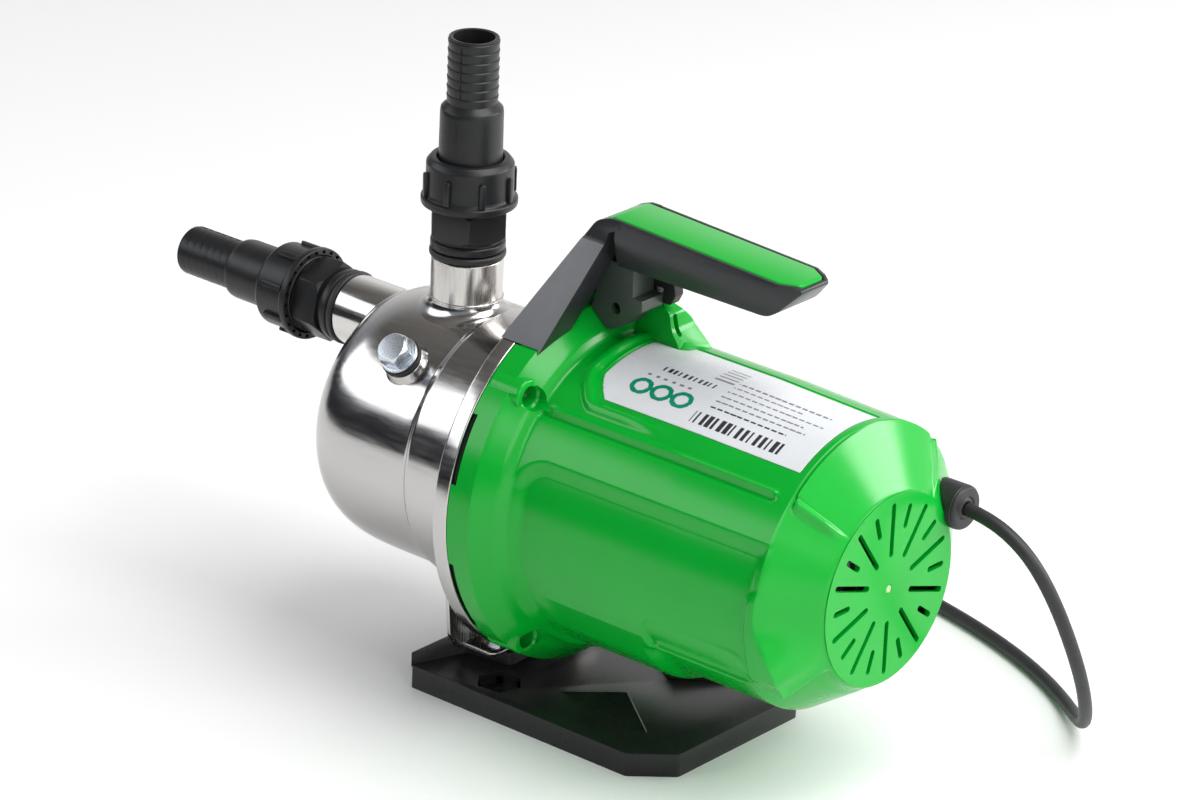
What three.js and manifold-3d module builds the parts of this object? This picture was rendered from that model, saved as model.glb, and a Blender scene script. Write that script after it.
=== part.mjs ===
// Shallow well jet pump: a stainless steel pump casing bolted to a plastic-shrouded motor,
// on a flat base, with a carrying handle, two hose connections and a mains lead.
// Units are millimetres. +X runs along the shaft from the suction port to the rear grille,
// +Z is up, and the origin is the middle of the base's underside.
import * as THREE from 'three';
import { mergeVertices } from 'three/addons/utils/BufferGeometryUtils.js';
import Module from 'manifold-3d';

const wasm = await Module();
wasm.setup();

// ---------------------------------------------------------------- driving dimensions
const GAP = 0.3;                 // clearance between touching pieces
const SHAFT_Z = 114.5;           // shaft height above the floor

const BASE = { front: -80.5, rear: 80.5, halfWidth: 64, chamfer: 17, height: 12.3, wall: 3 };
const PLINTH = { rear: -44, halfWidth: 34, top: 19 };

const CASING_R = 69;             // outside radius of the pressed steel casing
const CASING_WALL = 2;
const DOME = { tip: -161.5, start: -91, fullness: 5, skirtEnd: -74 };
const COLLAR = { front: -82, wall: 1.8 };              // flanged collar that sleeves the casing
const COLLAR_R = CASING_R + GAP + COLLAR.wall;
const FLANGE = { front: -42.5, rear: -33, radius: 95, wall: 2 };

const DISCHARGE_X = -106.5;      // vertical outlet socket
const DISCHARGE_TOP = 209.5;
const SUCTION_Z = 158.2;         // horizontal inlet socket
const SUCTION_END = -180.8;
const SOCKET = { outer: 18.45, inner: 16.7 };

const BARREL_R = 80;             // motor shroud
const SHROUD = {
  front: -30.5, rimRadius: 95, rimEnd: -19, slopeEnd: -8,
  shoulder: 147, rear: 166.4, grilleRadius: 50, wall: 3,
};
const BOSS = { pitchRadius: 87, angles: [43, -43, 141, -141], radius: 8.6, hole: 5.4, rear: -12 };
const SLOTS = { count: 20, width: 3, outer: 45, longInner: 16.8, shortOuter: 43, shortInner: 30.5 };
const SADDLE = { front: -2, rear: 24, near: 9, far: 33, top: 215 };
const LABEL = { front: 11, rear: 141, low: -12, high: 32.5, depth: 0.9, thickness: 0.5 };

const LEG = { footFront: -43, footRear: -18, footHalf: 47.5, topFront: -16.5, topRear: 0, z: 197 };
const GRIP = { halfWidth: 16, topFront: 262, topRear: 256.3, under: 237.5, tip: 118 };

const GLAND = { y: 52, z: 142, start: 153, end: 172, radius: 11.5 };
const CORD_R = 3.5;
const COIL = { x: -62, y: 168, inner: 33, outer: 47, height: 14 };
const PLUG = { entryX: -114, y: 211.5, z: 18.6, radius: 18.4, length: 50, pin: 19 };

// ---------------------------------------------------------------- materials
function material(name, color, roughness, metalness = 0) {
  return new THREE.MeshStandardMaterial({ name, color, roughness, metalness });
}
const STEEL = material('polished_steel', 0xc9c9c6, 0.12, 1);
const BRIGHT = material('plated_steel', 0xb9bbbd, 0.25, 1);
const GREEN = material('green_plastic', 0x0fa52f, 0.3);
const BLACK = material('black_plastic', 0x17181a, 0.35);
const GREY = material('dark_grey_plastic', 0x2c2d31, 0.45);
const FITTING = material('fitting_plastic', 0x1d1e20, 0.5);
const RUBBER = material('rubber', 0x111214, 0.75);
const COPPER = material('copper_winding', 0xa35a2a, 0.4, 0.8);
const LAMINATION = material('lamination_steel', 0x6f7276, 0.5, 0.9);
const BRASS = material('brass', 0xb08d4a, 0.3, 1);
const ALUMINIUM = material('cast_aluminium', 0x9a9c9e, 0.5, 0.9);
const PAPER = material('label_film', 0xeceef0, 0.4);
const NYLON = material('nylon', 0xd9d6c8, 0.5);

// ---------------------------------------------------------------- solid helpers
function signedVolume(position, index) {
  const [a, b, c] = [new THREE.Vector3(), new THREE.Vector3(), new THREE.Vector3()];
  let total = 0;
  for (let i = 0; i < index.length; i += 3) {
    a.fromBufferAttribute(position, index[i]);
    b.fromBufferAttribute(position, index[i + 1]);
    c.fromBufferAttribute(position, index[i + 2]);
    total += a.dot(b.cross(c));
  }
  return total;
}

// Merges shared vertices, drops empty triangles and makes every face point outwards.
function closed(geometry) {
  const bare = new THREE.BufferGeometry();
  bare.setAttribute('position', geometry.getAttribute('position').clone());
  if (geometry.index) bare.setIndex(geometry.index.clone());
  const merged = mergeVertices(bare, 1e-3);
  const index = [];
  const source = merged.index.array;
  for (let i = 0; i < source.length; i += 3) {
    const [a, b, c] = [source[i], source[i + 1], source[i + 2]];
    if (a !== b && b !== c && c !== a) index.push(a, b, c);
  }
  if (signedVolume(merged.getAttribute('position'), index) < 0) index.reverse();
  merged.setIndex(index);
  return merged;
}

function toManifold(geometry) {
  const mesh = closed(geometry);
  return new wasm.Manifold(new wasm.Mesh({
    numProp: 3,
    vertProperties: Float32Array.from(mesh.getAttribute('position').array),
    triVerts: Uint32Array.from(mesh.index.array),
  }));
}

function fromManifold(body) {
  const mesh = body.getMesh();
  const geometry = new THREE.BufferGeometry();
  geometry.setAttribute('position', new THREE.BufferAttribute(mesh.vertProperties, 3));
  geometry.setIndex(new THREE.BufferAttribute(mesh.triVerts, 1));
  return geometry;
}

function combine(first, others, operation) {
  let body = toManifold(first);
  for (const other of others) body = body[operation](toManifold(other));
  return fromManifold(body);
}
const cut = (first, ...tools) => combine(first, tools, 'subtract');
const join = (first, ...more) => combine(first, more, 'add');
const common = (first, ...more) => combine(first, more, 'intersect');

// A turned solid. The profile is a list of [radius, height] and the axis is X or Z.
function turned(profile, axis = 'z', segments = 28) {
  const points = profile.map(([r, h]) => new THREE.Vector2(r, h));
  if (profile[0][0] > 0 || profile.at(-1)[0] > 0) points.push(points[0].clone());
  const geometry = new THREE.LatheGeometry(points, segments);
  if (axis === 'z') geometry.rotateX(Math.PI / 2);
  else geometry.rotateZ(-Math.PI / 2);
  return closed(geometry);
}
const cylinderProfile = (r, from, to) => [[0, from], [r, from], [r, to], [0, to]];
const ringProfile = (inner, outer, from, to) => [[inner, from], [outer, from], [outer, to], [inner, to]];

// A flat outline pushed from one level to another. The plane names the outline's two axes.
function pushed(outline, plane, from, to) {
  const shape = Array.isArray(outline)
    ? new THREE.Shape(outline.map(([x, y]) => new THREE.Vector2(x, y))) : outline;
  const geometry = new THREE.ExtrudeGeometry(shape, { depth: to - from, bevelEnabled: false, curveSegments: 8 });
  geometry.translate(0, 0, from);
  if (plane === 'xz') geometry.applyMatrix4(new THREE.Matrix4().set(1, 0, 0, 0, 0, 0, 1, 0, 0, 1, 0, 0, 0, 0, 0, 1));
  if (plane === 'yz') geometry.applyMatrix4(new THREE.Matrix4().set(0, 0, 1, 0, 1, 0, 0, 0, 0, 1, 0, 0, 0, 0, 0, 1));
  return closed(geometry);
}

// The same outline drawn in by a fixed distance on every side.
function inset(outline, distance) {
  const turnSign = Math.sign(THREE.ShapeUtils.area(outline.map(([x, y]) => new THREE.Vector2(x, y))));
  const edge = (i) => {
    const [ax, ay] = outline[(i + outline.length) % outline.length];
    const [bx, by] = outline[(i + 1 + outline.length) % outline.length];
    const length = Math.hypot(bx - ax, by - ay);
    const [nx, ny] = [(-turnSign * (by - ay)) / length, (turnSign * (bx - ax)) / length];
    return { nx, ny, offset: nx * ax + ny * ay + distance };
  };
  return outline.map((_, i) => {
    const [p, q] = [edge(i - 1), edge(i)];
    const det = p.nx * q.ny - p.ny * q.nx;
    return [(p.offset * q.ny - p.ny * q.offset) / det, (p.nx * q.offset - p.offset * q.nx) / det];
  });
}

function block(x0, x1, y0, y1, z0, z1) {
  const geometry = new THREE.BoxGeometry(x1 - x0, y1 - y0, z1 - z0);
  geometry.translate((x0 + x1) / 2, (y0 + y1) / 2, (z0 + z1) / 2);
  return closed(geometry);
}

function hexagon(acrossFlats, from, to, turn = 0) {
  const geometry = new THREE.CylinderGeometry(acrossFlats / Math.sqrt(3), acrossFlats / Math.sqrt(3), to - from, 6);
  geometry.rotateX(Math.PI / 2);
  geometry.rotateZ(turn);
  geometry.translate(0, 0, (from + to) / 2);
  return closed(geometry);
}

const moved = (geometry, x, y, z) => geometry.clone().translate(x, y, z);
const radians = THREE.MathUtils.degToRad;

// A point on a circle about the shaft; 0 degrees is straight up and angles grow towards -Y.
function around(radius, degrees) {
  return [-radius * Math.sin(radians(degrees)), SHAFT_Z + radius * Math.cos(radians(degrees))];
}

// A slab of a ring about the shaft, between two angles and two stations along X.
function sector(inner, outer, fromDegrees, toDegrees, fromX, toX, steps = 10) {
  const outline = [];
  for (let i = 0; i <= steps; i++) outline.push(around(outer, fromDegrees + ((toDegrees - fromDegrees) * i) / steps));
  for (let i = steps; i >= 0; i--) outline.push(around(inner, fromDegrees + ((toDegrees - fromDegrees) * i) / steps));
  return pushed(outline, 'yz', fromX, toX);
}

const model = new THREE.Group();
function place(name, geometry, look, parent = model) {
  const mesh = new THREE.Mesh(geometry, look);
  mesh.name = name;
  mesh.geometry.computeVertexNormals();
  parent.add(mesh);
  return mesh;
}
const shaftTurned = (profile, segments = 28) => moved(turned(profile, 'x', segments), 0, 0, SHAFT_Z);

// ---------------------------------------------------------------- base
function baseOutline(inset) {
  const { front, rear, halfWidth, chamfer } = BASE;
  const [x0, x1, y] = [front + inset, rear - inset, halfWidth - inset];
  const c = chamfer - inset * 0.4;
  return [[x0, -y], [x1 - c, -y], [x1, -y + c], [x1, y - c], [x1 - c, y], [x0, y]];
}

function makeBase() {
  const underside = -1;
  const ceiling = BASE.height - BASE.wall;
  let body = pushed(baseOutline(0), 'xy', 0, BASE.height);
  const plinth = [
    [BASE.front, -BASE.halfWidth], [BASE.front + 10, -PLINTH.halfWidth], [PLINTH.rear, -PLINTH.halfWidth],
    [PLINTH.rear, PLINTH.halfWidth], [BASE.front + 10, PLINTH.halfWidth], [BASE.front, BASE.halfWidth],
  ];
  body = join(body, pushed(plinth, 'xy', BASE.height - 1, PLINTH.top));
  // raised wedges either side, like arrowheads pointing forwards
  for (const side of [-1, 1]) {
    const wedge = [[-8, side * 37], [57, side * 44], [25, side * 14]];
    body = join(body, pushed(wedge, 'xy', BASE.height - 1, BASE.height + 3));
  }
  let hollow = pushed(baseOutline(BASE.wall), 'xy', underside, ceiling);
  const ribHalf = 1.5;
  for (const y of [-32, 0, 32]) {
    hollow = cut(hollow, block(BASE.front, BASE.rear, y - ribHalf, y + ribHalf, underside - 1, ceiling + 1));
  }
  for (const x of [-40, 0, 40]) {
    hollow = cut(hollow, block(x - ribHalf, x + ribHalf, -BASE.halfWidth, BASE.halfWidth, underside - 1, ceiling + 1));
  }
  hollow = cut(hollow, turned(cylinderProfile(14, underside - 1, ceiling + 1), 'z', 24));
  for (const side of [-1, 1]) {
    hollow = cut(hollow, moved(turned(cylinderProfile(12, underside - 1, ceiling + 1), 'z', 20), -36, side * 47, 0));
    hollow = cut(hollow, moved(turned(cylinderProfile(7, underside - 1, ceiling + 1), 'z', 16), -56, side * 24, 0));
  }
  body = cut(body, hollow);
  for (const side of [-1, 1]) {
    // hexagonal sinks with a through hole for bolting the pump down
    body = cut(body, moved(hexagon(18, 6, BASE.height + 9, 0), -36, side * 47, 0));
    body = cut(body, moved(turned(cylinderProfile(4.5, -1, 7), 'z', 16), -36, side * 47, 0));
    body = cut(body, moved(turned(cylinderProfile(3.3, 3, PLINTH.top + 1), 'z', 16), -56, side * 24, 0));
  }
  place('base', body, BLACK);
}
makeBase();

// ---------------------------------------------------------------- steel foot bracket and its bolts
function makeFootBracket() {
  const floor = PLINTH.top + GAP;
  const plate = block(-70, -46, -32, 32, floor, floor + 2.2);
  const outline = [[-40, floor], [40, floor], [44, floor + 6], [52, floor + 31], [38, floor + 31], [-38, floor + 31],
    [-52, floor + 31], [-44, floor + 6]];
  let upright = pushed(outline, 'yz', -68, -65.6);
  upright = cut(upright, shaftTurned(cylinderProfile(COLLAR_R + GAP, -90, -40), 48));
  let bracket = join(plate, upright);
  for (const side of [-1, 1]) {
    bracket = cut(bracket, moved(turned(cylinderProfile(3.5, floor - 1, floor + 4), 'z', 16), -56, side * 24, 0));
    const bolt = join(
      turned(cylinderProfile(3, 5, floor + 3), 'z', 16),
      hexagon(10, floor + 2.2 + GAP, floor + 7.2 + GAP),
    );
    place(side < 0 ? 'foot_bolt_right' : 'foot_bolt_left', moved(bolt, -56, side * 24, 0), BRIGHT);
  }
  place('foot_bracket', bracket, STEEL);
}
makeFootBracket();

// ---------------------------------------------------------------- steel casing and its sockets
// Radius of the pressed dome at a station, a squashed circle closing at the tip.
function domePoints(offset, steps) {
  const points = [];
  const depth = DOME.start - DOME.tip - offset;
  const radius = CASING_R - offset;
  for (let i = 0; i <= steps; i++) {
    const angle = (Math.PI / 2) * (1 - i / steps);
    const power = 2 / DOME.fullness;
    points.push([radius * Math.cos(angle) ** power, DOME.start - depth * Math.sin(angle) ** power]);
  }
  points[0][0] = 0;
  return points;
}

const PLUG_AXIS = { x: -104, degrees: 43 };
function onPlugAxis(geometry) {
  const [y, z] = around(CASING_R, PLUG_AXIS.degrees);
  return moved(geometry.clone().rotateX(radians(PLUG_AXIS.degrees)), PLUG_AXIS.x, y, z);
}

function makeCasing() {
  const outer = [...domePoints(0, 6), [CASING_R, DOME.skirtEnd]];
  const inner = [...domePoints(CASING_WALL, 4), [CASING_R - CASING_WALL, DOME.skirtEnd]].reverse();
  let body = shaftTurned([...outer, ...inner], 32);
  const outlet = moved(turned(cylinderProfile(SOCKET.inner, SHAFT_Z + 40, 220), 'z', 20), DISCHARGE_X, 0, 0);
  const inlet = moved(turned(cylinderProfile(SOCKET.inner, -190, -120), 'x', 20), 0, 0, SUCTION_Z);
  const bossRing = onPlugAxis(turned(cylinderProfile(10.5, -4, 3.6), 'z', 16));
  body = join(body, cut(bossRing, shaftTurned(cylinderProfile(CASING_R - 1, -130, -80), 32)));
  body = cut(body, outlet, inlet, onPlugAxis(turned(cylinderProfile(6.8, -12, 8), 'z', 20)));
  place('casing', body, STEEL);

  const { front, rear, radius, wall } = FLANGE;
  const bore = CASING_R + GAP;
  place('casing_flange', shaftTurned([[bore, COLLAR.front], [COLLAR_R, COLLAR.front], [COLLAR_R, front], [radius, front],
    [radius, rear], [radius - wall, rear], [radius - wall, front + wall], [bore, front + wall]], 32), STEEL);

  const casingEnvelope = shaftTurned([...domePoints(-GAP, 6), [CASING_R + GAP, -60], [0, -60]], 32);
  const socket = (from, to) => ringProfile(SOCKET.inner, SOCKET.outer, from, to);
  const outletTube = moved(turned(socket(SHAFT_Z + 50, DISCHARGE_TOP), 'z', 20), DISCHARGE_X, 0, 0);
  place('discharge_socket', cut(outletTube, casingEnvelope), STEEL);
  const inletTube = moved(turned(socket(SUCTION_END, -120), 'x', 20), 0, 0, SUCTION_Z);
  place('suction_socket', cut(inletTube, casingEnvelope), STEEL);
}
makeCasing();

// ---------------------------------------------------------------- priming plug
function makePrimingPlug() {
  const washerFrom = 3.6 + GAP;
  const washerTo = washerFrom + 2.4;
  place('priming_washer', onPlugAxis(turned(ringProfile(6.9, 10.6, washerFrom, washerTo), 'z', 16)), RUBBER);
  const flange = washerTo + GAP;
  const thread = turned([[0, -7], [5.6, -7], [6.4, -6], [6.4, flange - GAP], [0, flange - GAP]], 'z', 16);
  place('priming_plug_thread', onPlugAxis(thread), BRIGHT);
  const disc = turned(cylinderProfile(10.2, flange, flange + 2.4), 'z', 16);
  const head = common(hexagon(17, flange + 2, flange + 11.5, radians(15)),
    turned([[0, flange + 1], [12, flange + 1], [12, flange + 10], [8.4, flange + 11.4], [0, flange + 11.4]], 'z', 12));
  place('priming_plug', onPlugAxis(join(disc, head)), BRIGHT);
}
makePrimingPlug();

// ---------------------------------------------------------------- hydraulic parts inside the casing
function makeHydraulics() {
  place('jet_nozzle', shaftTurned([[8, -150], [12, -150], [12, -140], [6.5, -126], [4.2, -126], [4.8, -138]], 16), NYLON);
  place('venturi_tube', shaftTurned([[7, -122], [10, -122], [10, -110], [14, -84], [30, -84], [30, -80.3], [11, -80.3],
    [6.5, -108]], 20), NYLON);
  let diffuser = shaftTurned([[12.5, -80], [60, -80], [62, -76], [62, -50], [59, -50], [59, -75], [12.5, -77.5]], 24);
  for (let i = 0; i < 6; i++) {
    const [y, z] = around(60, i * 60 + 15);
    diffuser = cut(diffuser, moved(turned(cylinderProfile(5, -70, -58), 'x', 8), 0, y, z));
  }
  place('diffuser', diffuser, NYLON);
  let impeller = shaftTurned([[6.8, -74], [14, -74], [54, -67], [54, -65.5], [15, -71.5], [15, -65], [54, -61],
    [54, -59.5], [14, -58.5], [12, -54], [6.8, -54]], 24);
  for (let i = 0; i < 6; i++) {
    const vane = block(-0.9, 0.9, 18, 53, -0.9, 0.9);
    vane.scale(3.2, 1, 1).rotateX(radians(i * 60)).translate(-66, 0, SHAFT_Z);
    impeller = join(impeller, common(vane, shaftTurned(cylinderProfile(52, -68.8, -61.5), 24)));
  }
  place('impeller', impeller, BRASS);
  const nut = hexagon(13, 0, 6);
  const nutOnShaft = cut(nut, turned(cylinderProfile(4.3, -1, 7), 'z', 12));
  place('impeller_nut', moved(nutOnShaft.rotateY(Math.PI / 2), -80.7, 0, SHAFT_Z), BRIGHT);
  place('seal_spring', shaftTurned(ringProfile(7.1, 11, -53.7, -50.2), 16), BRIGHT);
  place('seal_rotating_face', shaftTurned(ringProfile(7, 12, -49.9, -46.8), 16), RUBBER);
  place('seal_seat', shaftTurned(ringProfile(7.6, 15.5, -46.4, -41.6), 16), NYLON);
  place('casing_seal_ring', shaftTurned(ringProfile(71.3, 75, -40.2, -38.3), 32), RUBBER);
}
makeHydraulics();

// ---------------------------------------------------------------- motor bracket and its screws
function makeBracket() {
  const lip = FLANGE.radius - FLANGE.wall - GAP;
  let bracket = shaftTurned([[16, -40.2], [70.5, -40.2], [70.6, -38], [75.8, -38], [75.6, -40.2], [lip, -40.2],
    [lip, -31.5], [76, -31.5], [76, -27.5], [26, -27.5], [22, -13], [17.8, -13], [17.8, -24], [9, -24], [9, -36],
    [16, -36]], 32);
  for (const angle of BOSS.angles) {
    const [y, z] = around(BOSS.pitchRadius, angle);
    bracket = cut(bracket, moved(turned(cylinderProfile(2.4, -39, -20), 'x', 10), 0, y, z));
  }
  place('motor_bracket', bracket, BLACK);
  BOSS.angles.forEach((angle, i) => {
    const [y, z] = around(BOSS.pitchRadius, angle);
    const screw = turned([[0, -38.5], [2, -38.5], [2, -24 + GAP], [4.1, -24 + GAP], [4.1, -21.5], [0, -20.8]], 'x', 12);
    place(`shroud_screw_${i + 1}`, moved(screw, 0, y, z), BRIGHT);
  });
}
makeBracket();

// ---------------------------------------------------------------- motor
function makeMotor() {
  const shaft = shaftTurned([[0, -82], [4, -82], [4, -74.5], [6.5, -74.5], [6.5, -24], [7.7, -23], [7.7, 110],
    [6.2, 111], [6.2, 138], [0, 138]], 16);
  place('motor_shaft', shaft, BRIGHT);
  place('rotor_core', shaftTurned(ringProfile(8, 31, 22, 82), 24), LAMINATION);
  place('stator_core', shaftTurned(ringProfile(31.7, 60, 22, 82), 24), LAMINATION);
  const winding = (from, to) => shaftTurned([[34, from], [52, from], [56, (from + to) / 2], [52, to], [34, to]], 20);
  place('winding_front', winding(4, 21.7), COPPER);
  place('winding_rear', winding(82.3, 100), COPPER);
  place('bearing_front', shaftTurned(ringProfile(8, 17.4, -23.6, -13), 20), BRIGHT);
  place('bearing_rear', shaftTurned(ringProfile(6.6, 13, 111.5, 119.5), 20), BRIGHT);
  const rearShield = shaftTurned([[13.5, 108], [66, 108], [66, 62], [69, 62], [69, 111], [17, 111], [17, 120], [13.5, 120]], 24);
  const windows = [];
  for (let i = 0; i < 6; i++) {
    const [y, z] = around(40, i * 60);
    windows.push(moved(turned(cylinderProfile(11, 106, 113), 'x', 8), 0, y, z));
  }
  place('rear_end_shield', cut(rearShield, ...windows), ALUMINIUM);
  let fan = shaftTurned([[6.6, 123], [11, 123], [11, 126], [60, 126], [60, 128], [11, 128], [11, 137], [6.6, 137]], 20);
  for (let i = 0; i < 7; i++) {
    const blade = block(127.5, 141, 12, 58, -0.9, 0.9);
    blade.rotateX(radians((i * 360) / 7)).translate(0, 0, SHAFT_Z);
    fan = join(fan, blade);
  }
  place('cooling_fan', fan, BLACK);
}
makeMotor();

// ---------------------------------------------------------------- motor shroud
function slotCutter(angle, inner, outer) {
  const half = SLOTS.width / 2;
  const slot = block(SHROUD.rear - 9, SHROUD.rear + 4, -half, half, inner, outer);
  return slot.rotateX(radians(angle)).translate(0, 0, SHAFT_Z);
}

function makeShroud() {
  const { front, rimRadius, rimEnd, slopeEnd, shoulder, rear, grilleRadius, wall } = SHROUD;
  let body = shaftTurned([[0, front], [rimRadius, front], [rimRadius, rimEnd], [BARREL_R + 5, slopeEnd],
    [BARREL_R, slopeEnd], [BARREL_R, shoulder], [grilleRadius, rear], [0, rear]], 40);
  // front tabs that reach forward to the casing flange
  for (const [from, to] of [[30, 54], [-54, -30], [77, 103], [-103, -77], [130, 152], [-152, -130]]) {
    body = join(body, sector(93.1, rimRadius, from, to, FLANGE.rear + GAP, front + 1, 4));
  }
  // screw bosses
  const bosses = BOSS.angles.map((angle) => around(BOSS.pitchRadius, angle));
  for (const [y, z] of bosses) {
    body = join(body, moved(turned(cylinderProfile(BOSS.radius, front - 0.7, BOSS.rear), 'x', 12), 0, y, z));
  }
  // a long ridge above each side, and a panel sunk below the barrel surface under it
  for (const side of [-1, 1]) {
    body = join(body, sector(78, BARREL_R + 1.5, side * 43.5, side * 46, slopeEnd - 4, shoulder - 6, 2));
    body = cut(body, sector(BARREL_R - 2.4, BARREL_R + 9, side * 64, side * 115, 4, shoulder - 5, 8));
  }
  // flattened belly and the scoop that runs down to the top of the grille
  body = cut(body, block(-5, rear + 5, -60, 60, -20, SHAFT_Z - 77));
  const scoop = [[shoulder, SHAFT_Z + 86], [shoulder, SHAFT_Z + 78.6], [rear - 1, SHAFT_Z + 49], [rear + 9, SHAFT_Z + 49],
    [rear + 9, SHAFT_Z + 86]];
  body = cut(body, common(pushed(scoop, 'xz', -60, 60), sector(30, 100, -40, 40, 120, rear + 12, 6)));
  // label recess
  body = cut(body, sector(BARREL_R - LABEL.depth, BARREL_R + 4, LABEL.low, LABEL.high, LABEL.front, LABEL.rear, 6));
  // saddle under the handle
  const saddleSide = [[SADDLE.front, 178], [SADDLE.front, SADDLE.top], [SADDLE.rear - 4, SADDLE.top],
    [SADDLE.rear + 2, SADDLE.top - 8], [SADDLE.rear + 10, 178]];
  const saddleEnd = [[SADDLE.near, 178], [SADDLE.near, SADDLE.top - 3], [SADDLE.near + 3, SADDLE.top],
    [SADDLE.near + 9, SADDLE.top], [SADDLE.far, SADDLE.top - 10], [SADDLE.far, 178]];
  body = join(body, common(pushed(saddleSide, 'xz', SADDLE.near, SADDLE.far),
    pushed(saddleEnd, 'yz', SADDLE.front, SADDLE.rear + 10)));
  // inside
  const inside = shaftTurned([[0, front - 4], [86 + GAP, front - 4], [86 + GAP, -22], [BARREL_R - 5.6, -12],
    [BARREL_R - 5.6, 146], [grilleRadius - 4, rear - wall], [0, rear - wall]], 40);
  body = cut(body, cut(inside, ...bosses.map(([y, z]) => moved(
    turned(cylinderProfile(BOSS.radius, -40, BOSS.rear), 'x', 12), 0, y, z))));
  for (const [y, z] of bosses) {
    body = cut(body, moved(turned([[0, -40], [2.5, -40], [2.5, -24], [BOSS.hole, -24], [BOSS.hole, 0], [0, 0]], 'x', 10), 0, y, z));
  }
  body = cut(body, moved(turned(cylinderProfile(8.3, 130, 175), 'x', 16), 0, GLAND.y, GLAND.z));
  const step = 360 / SLOTS.count;
  for (let i = 0; i < SLOTS.count; i++) {
    const long = i % 2 === 0;
    body = cut(body, slotCutter(i * step, long ? SLOTS.longInner : SLOTS.shortInner, long ? SLOTS.outer : SLOTS.shortOuter));
  }
  place('motor_shroud', body, GREEN);
  const label = sector(BARREL_R - LABEL.depth + 0.15, BARREL_R - LABEL.depth + 0.15 + LABEL.thickness,
    LABEL.low + 0.5, LABEL.high - 0.5, LABEL.front + 0.5, LABEL.rear - 0.5, 6);
  const saddleRoom = block(0, SADDLE.rear + 10, SADDLE.near - 2, SADDLE.far, 180, 200);
  place('rating_label', cut(label, saddleRoom), PAPER);
}
makeShroud();

// ---------------------------------------------------------------- handle
function makeHandle() {
  const { footFront, footRear, footHalf, topFront, topRear, z } = LEG;
  const under = GRIP.under;
  const side = [[footFront - 8, z - 18], [topFront - 2, 247], [-11, 258.5], [-3, GRIP.topFront],
    [GRIP.tip - 6, GRIP.topRear], [GRIP.tip, GRIP.topRear - 2], [104, 243], [96, under], [0, under],
    [footRear - 8.2, z - 18]];
  const sideProfile = pushed(side, 'xz', -60, 60);
  const slope = (footHalf - 16.5) / (250 - z);
  const lowHalf = footHalf + slope * 18;
  const arch = pushed([[-lowHalf, z - 18], [-16.5, 250], [-GRIP.halfWidth, 264], [GRIP.halfWidth, 264], [16.5, 250],
    [lowHalf, z - 18], [lowHalf - 6, z - 18], [11.5, under + 3], [-11.5, under + 3], [-lowHalf + 6, z - 18]], 'yz', -60, topRear + 2);
  const grip = block(topRear - 12, GRIP.tip + 1, -GRIP.halfWidth, GRIP.halfWidth, under - 0.2, 266);
  const clearance = shaftTurned([[0, -60], [SHROUD.rimRadius + GAP, -60], [SHROUD.rimRadius + GAP, SHROUD.rimEnd],
    [BARREL_R + 5 + GAP, SHROUD.slopeEnd + GAP], [BARREL_R + 5, 30], [0, 30]], 48);
  const gripCore = block(8, 100, -GRIP.halfWidth + 3, GRIP.halfWidth - 3, 230, GRIP.topRear - 7);
  // a thin wall closes the front of the arch between its two legs
  const web = common(pushed([[-lowHalf, z - 18], [-16.5, 250], [16.5, 250], [lowHalf, z - 18]], 'yz', -60, topRear),
    pushed([[footFront - 8, z - 18], [topFront - 2, 247], [topFront + 2, 247], [footFront - 4, z - 18]], 'xz', -60, 60));
  let body = common(join(arch, grip, web), sideProfile);
  body = cut(body, clearance, gripCore);
  // the bright cover strip lies in a shallow tray along the top and over the front bend
  const strip = (lift) => [[-14, 254.6], [-3, GRIP.topFront + lift], [GRIP.tip - 8, GRIP.topRear + 0.2 + lift],
    [GRIP.tip - 8, GRIP.topRear - 2.2], [-2, GRIP.topFront - 2.6], [-12, 252.9]];
  const trayHalf = GRIP.halfWidth - 2;
  place('handle_body', cut(body, pushed(strip(4), 'xz', -trayHalf, trayHalf)), GREY);
  place('handle_cover', pushed(inset(strip(0.6), GAP), 'xz', -trayHalf + GAP, trayHalf - GAP), GREEN);

  // bracket hidden in the arch, and the foot beside it that stands on the saddle
  const bracketHalf = 8;
  let bracket = pushed([[-26, 190], [-24, 212], [-13, under - GAP - 0.2], [7, under - GAP - 0.2], [7, 224], [13, 219], [6, 204],
    [-7, 196]], 'xz', -bracketHalf, bracketHalf);
  bracket = cut(bracket, block(-22, 2, -5, 5, 180, under - 8), clearance);
  const eye = turned(cylinderProfile(3, -12, 12), 'z', 16).rotateX(Math.PI / 2);
  place('handle_bracket', cut(bracket, moved(eye, -4, 0, 212)), BLACK);
  const foot = pushed([[3, SADDLE.top + GAP], [18, SADDLE.top + GAP], [21, SADDLE.top + 6], [18, under - GAP],
    [3, under - GAP]], 'xz', bracketHalf + GAP, bracketHalf + 7);
  place('handle_foot', foot, BLACK);
}
makeHandle();

// ---------------------------------------------------------------- hose connections
// One connection along local +Z, starting at the end face of the steel socket at Z = 0.
function hoseTailProfile() {
  const bore = 10.5;
  const profile = [[bore, 46.6], [20.2, 46.6], [20.2, 49], [16, 49], [16, 76.5], [13.4, 81]];
  const rings = 4;
  const pitch = (115.5 - 82) / rings;
  for (let i = 0; i < rings; i++) {
    const z = 82 + i * pitch;
    profile.push([13.2, z], [12.5, z + pitch * 0.8]);
  }
  profile.push([12.4, 115.5], [bore, 115.5]);
  return profile;
}

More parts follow.
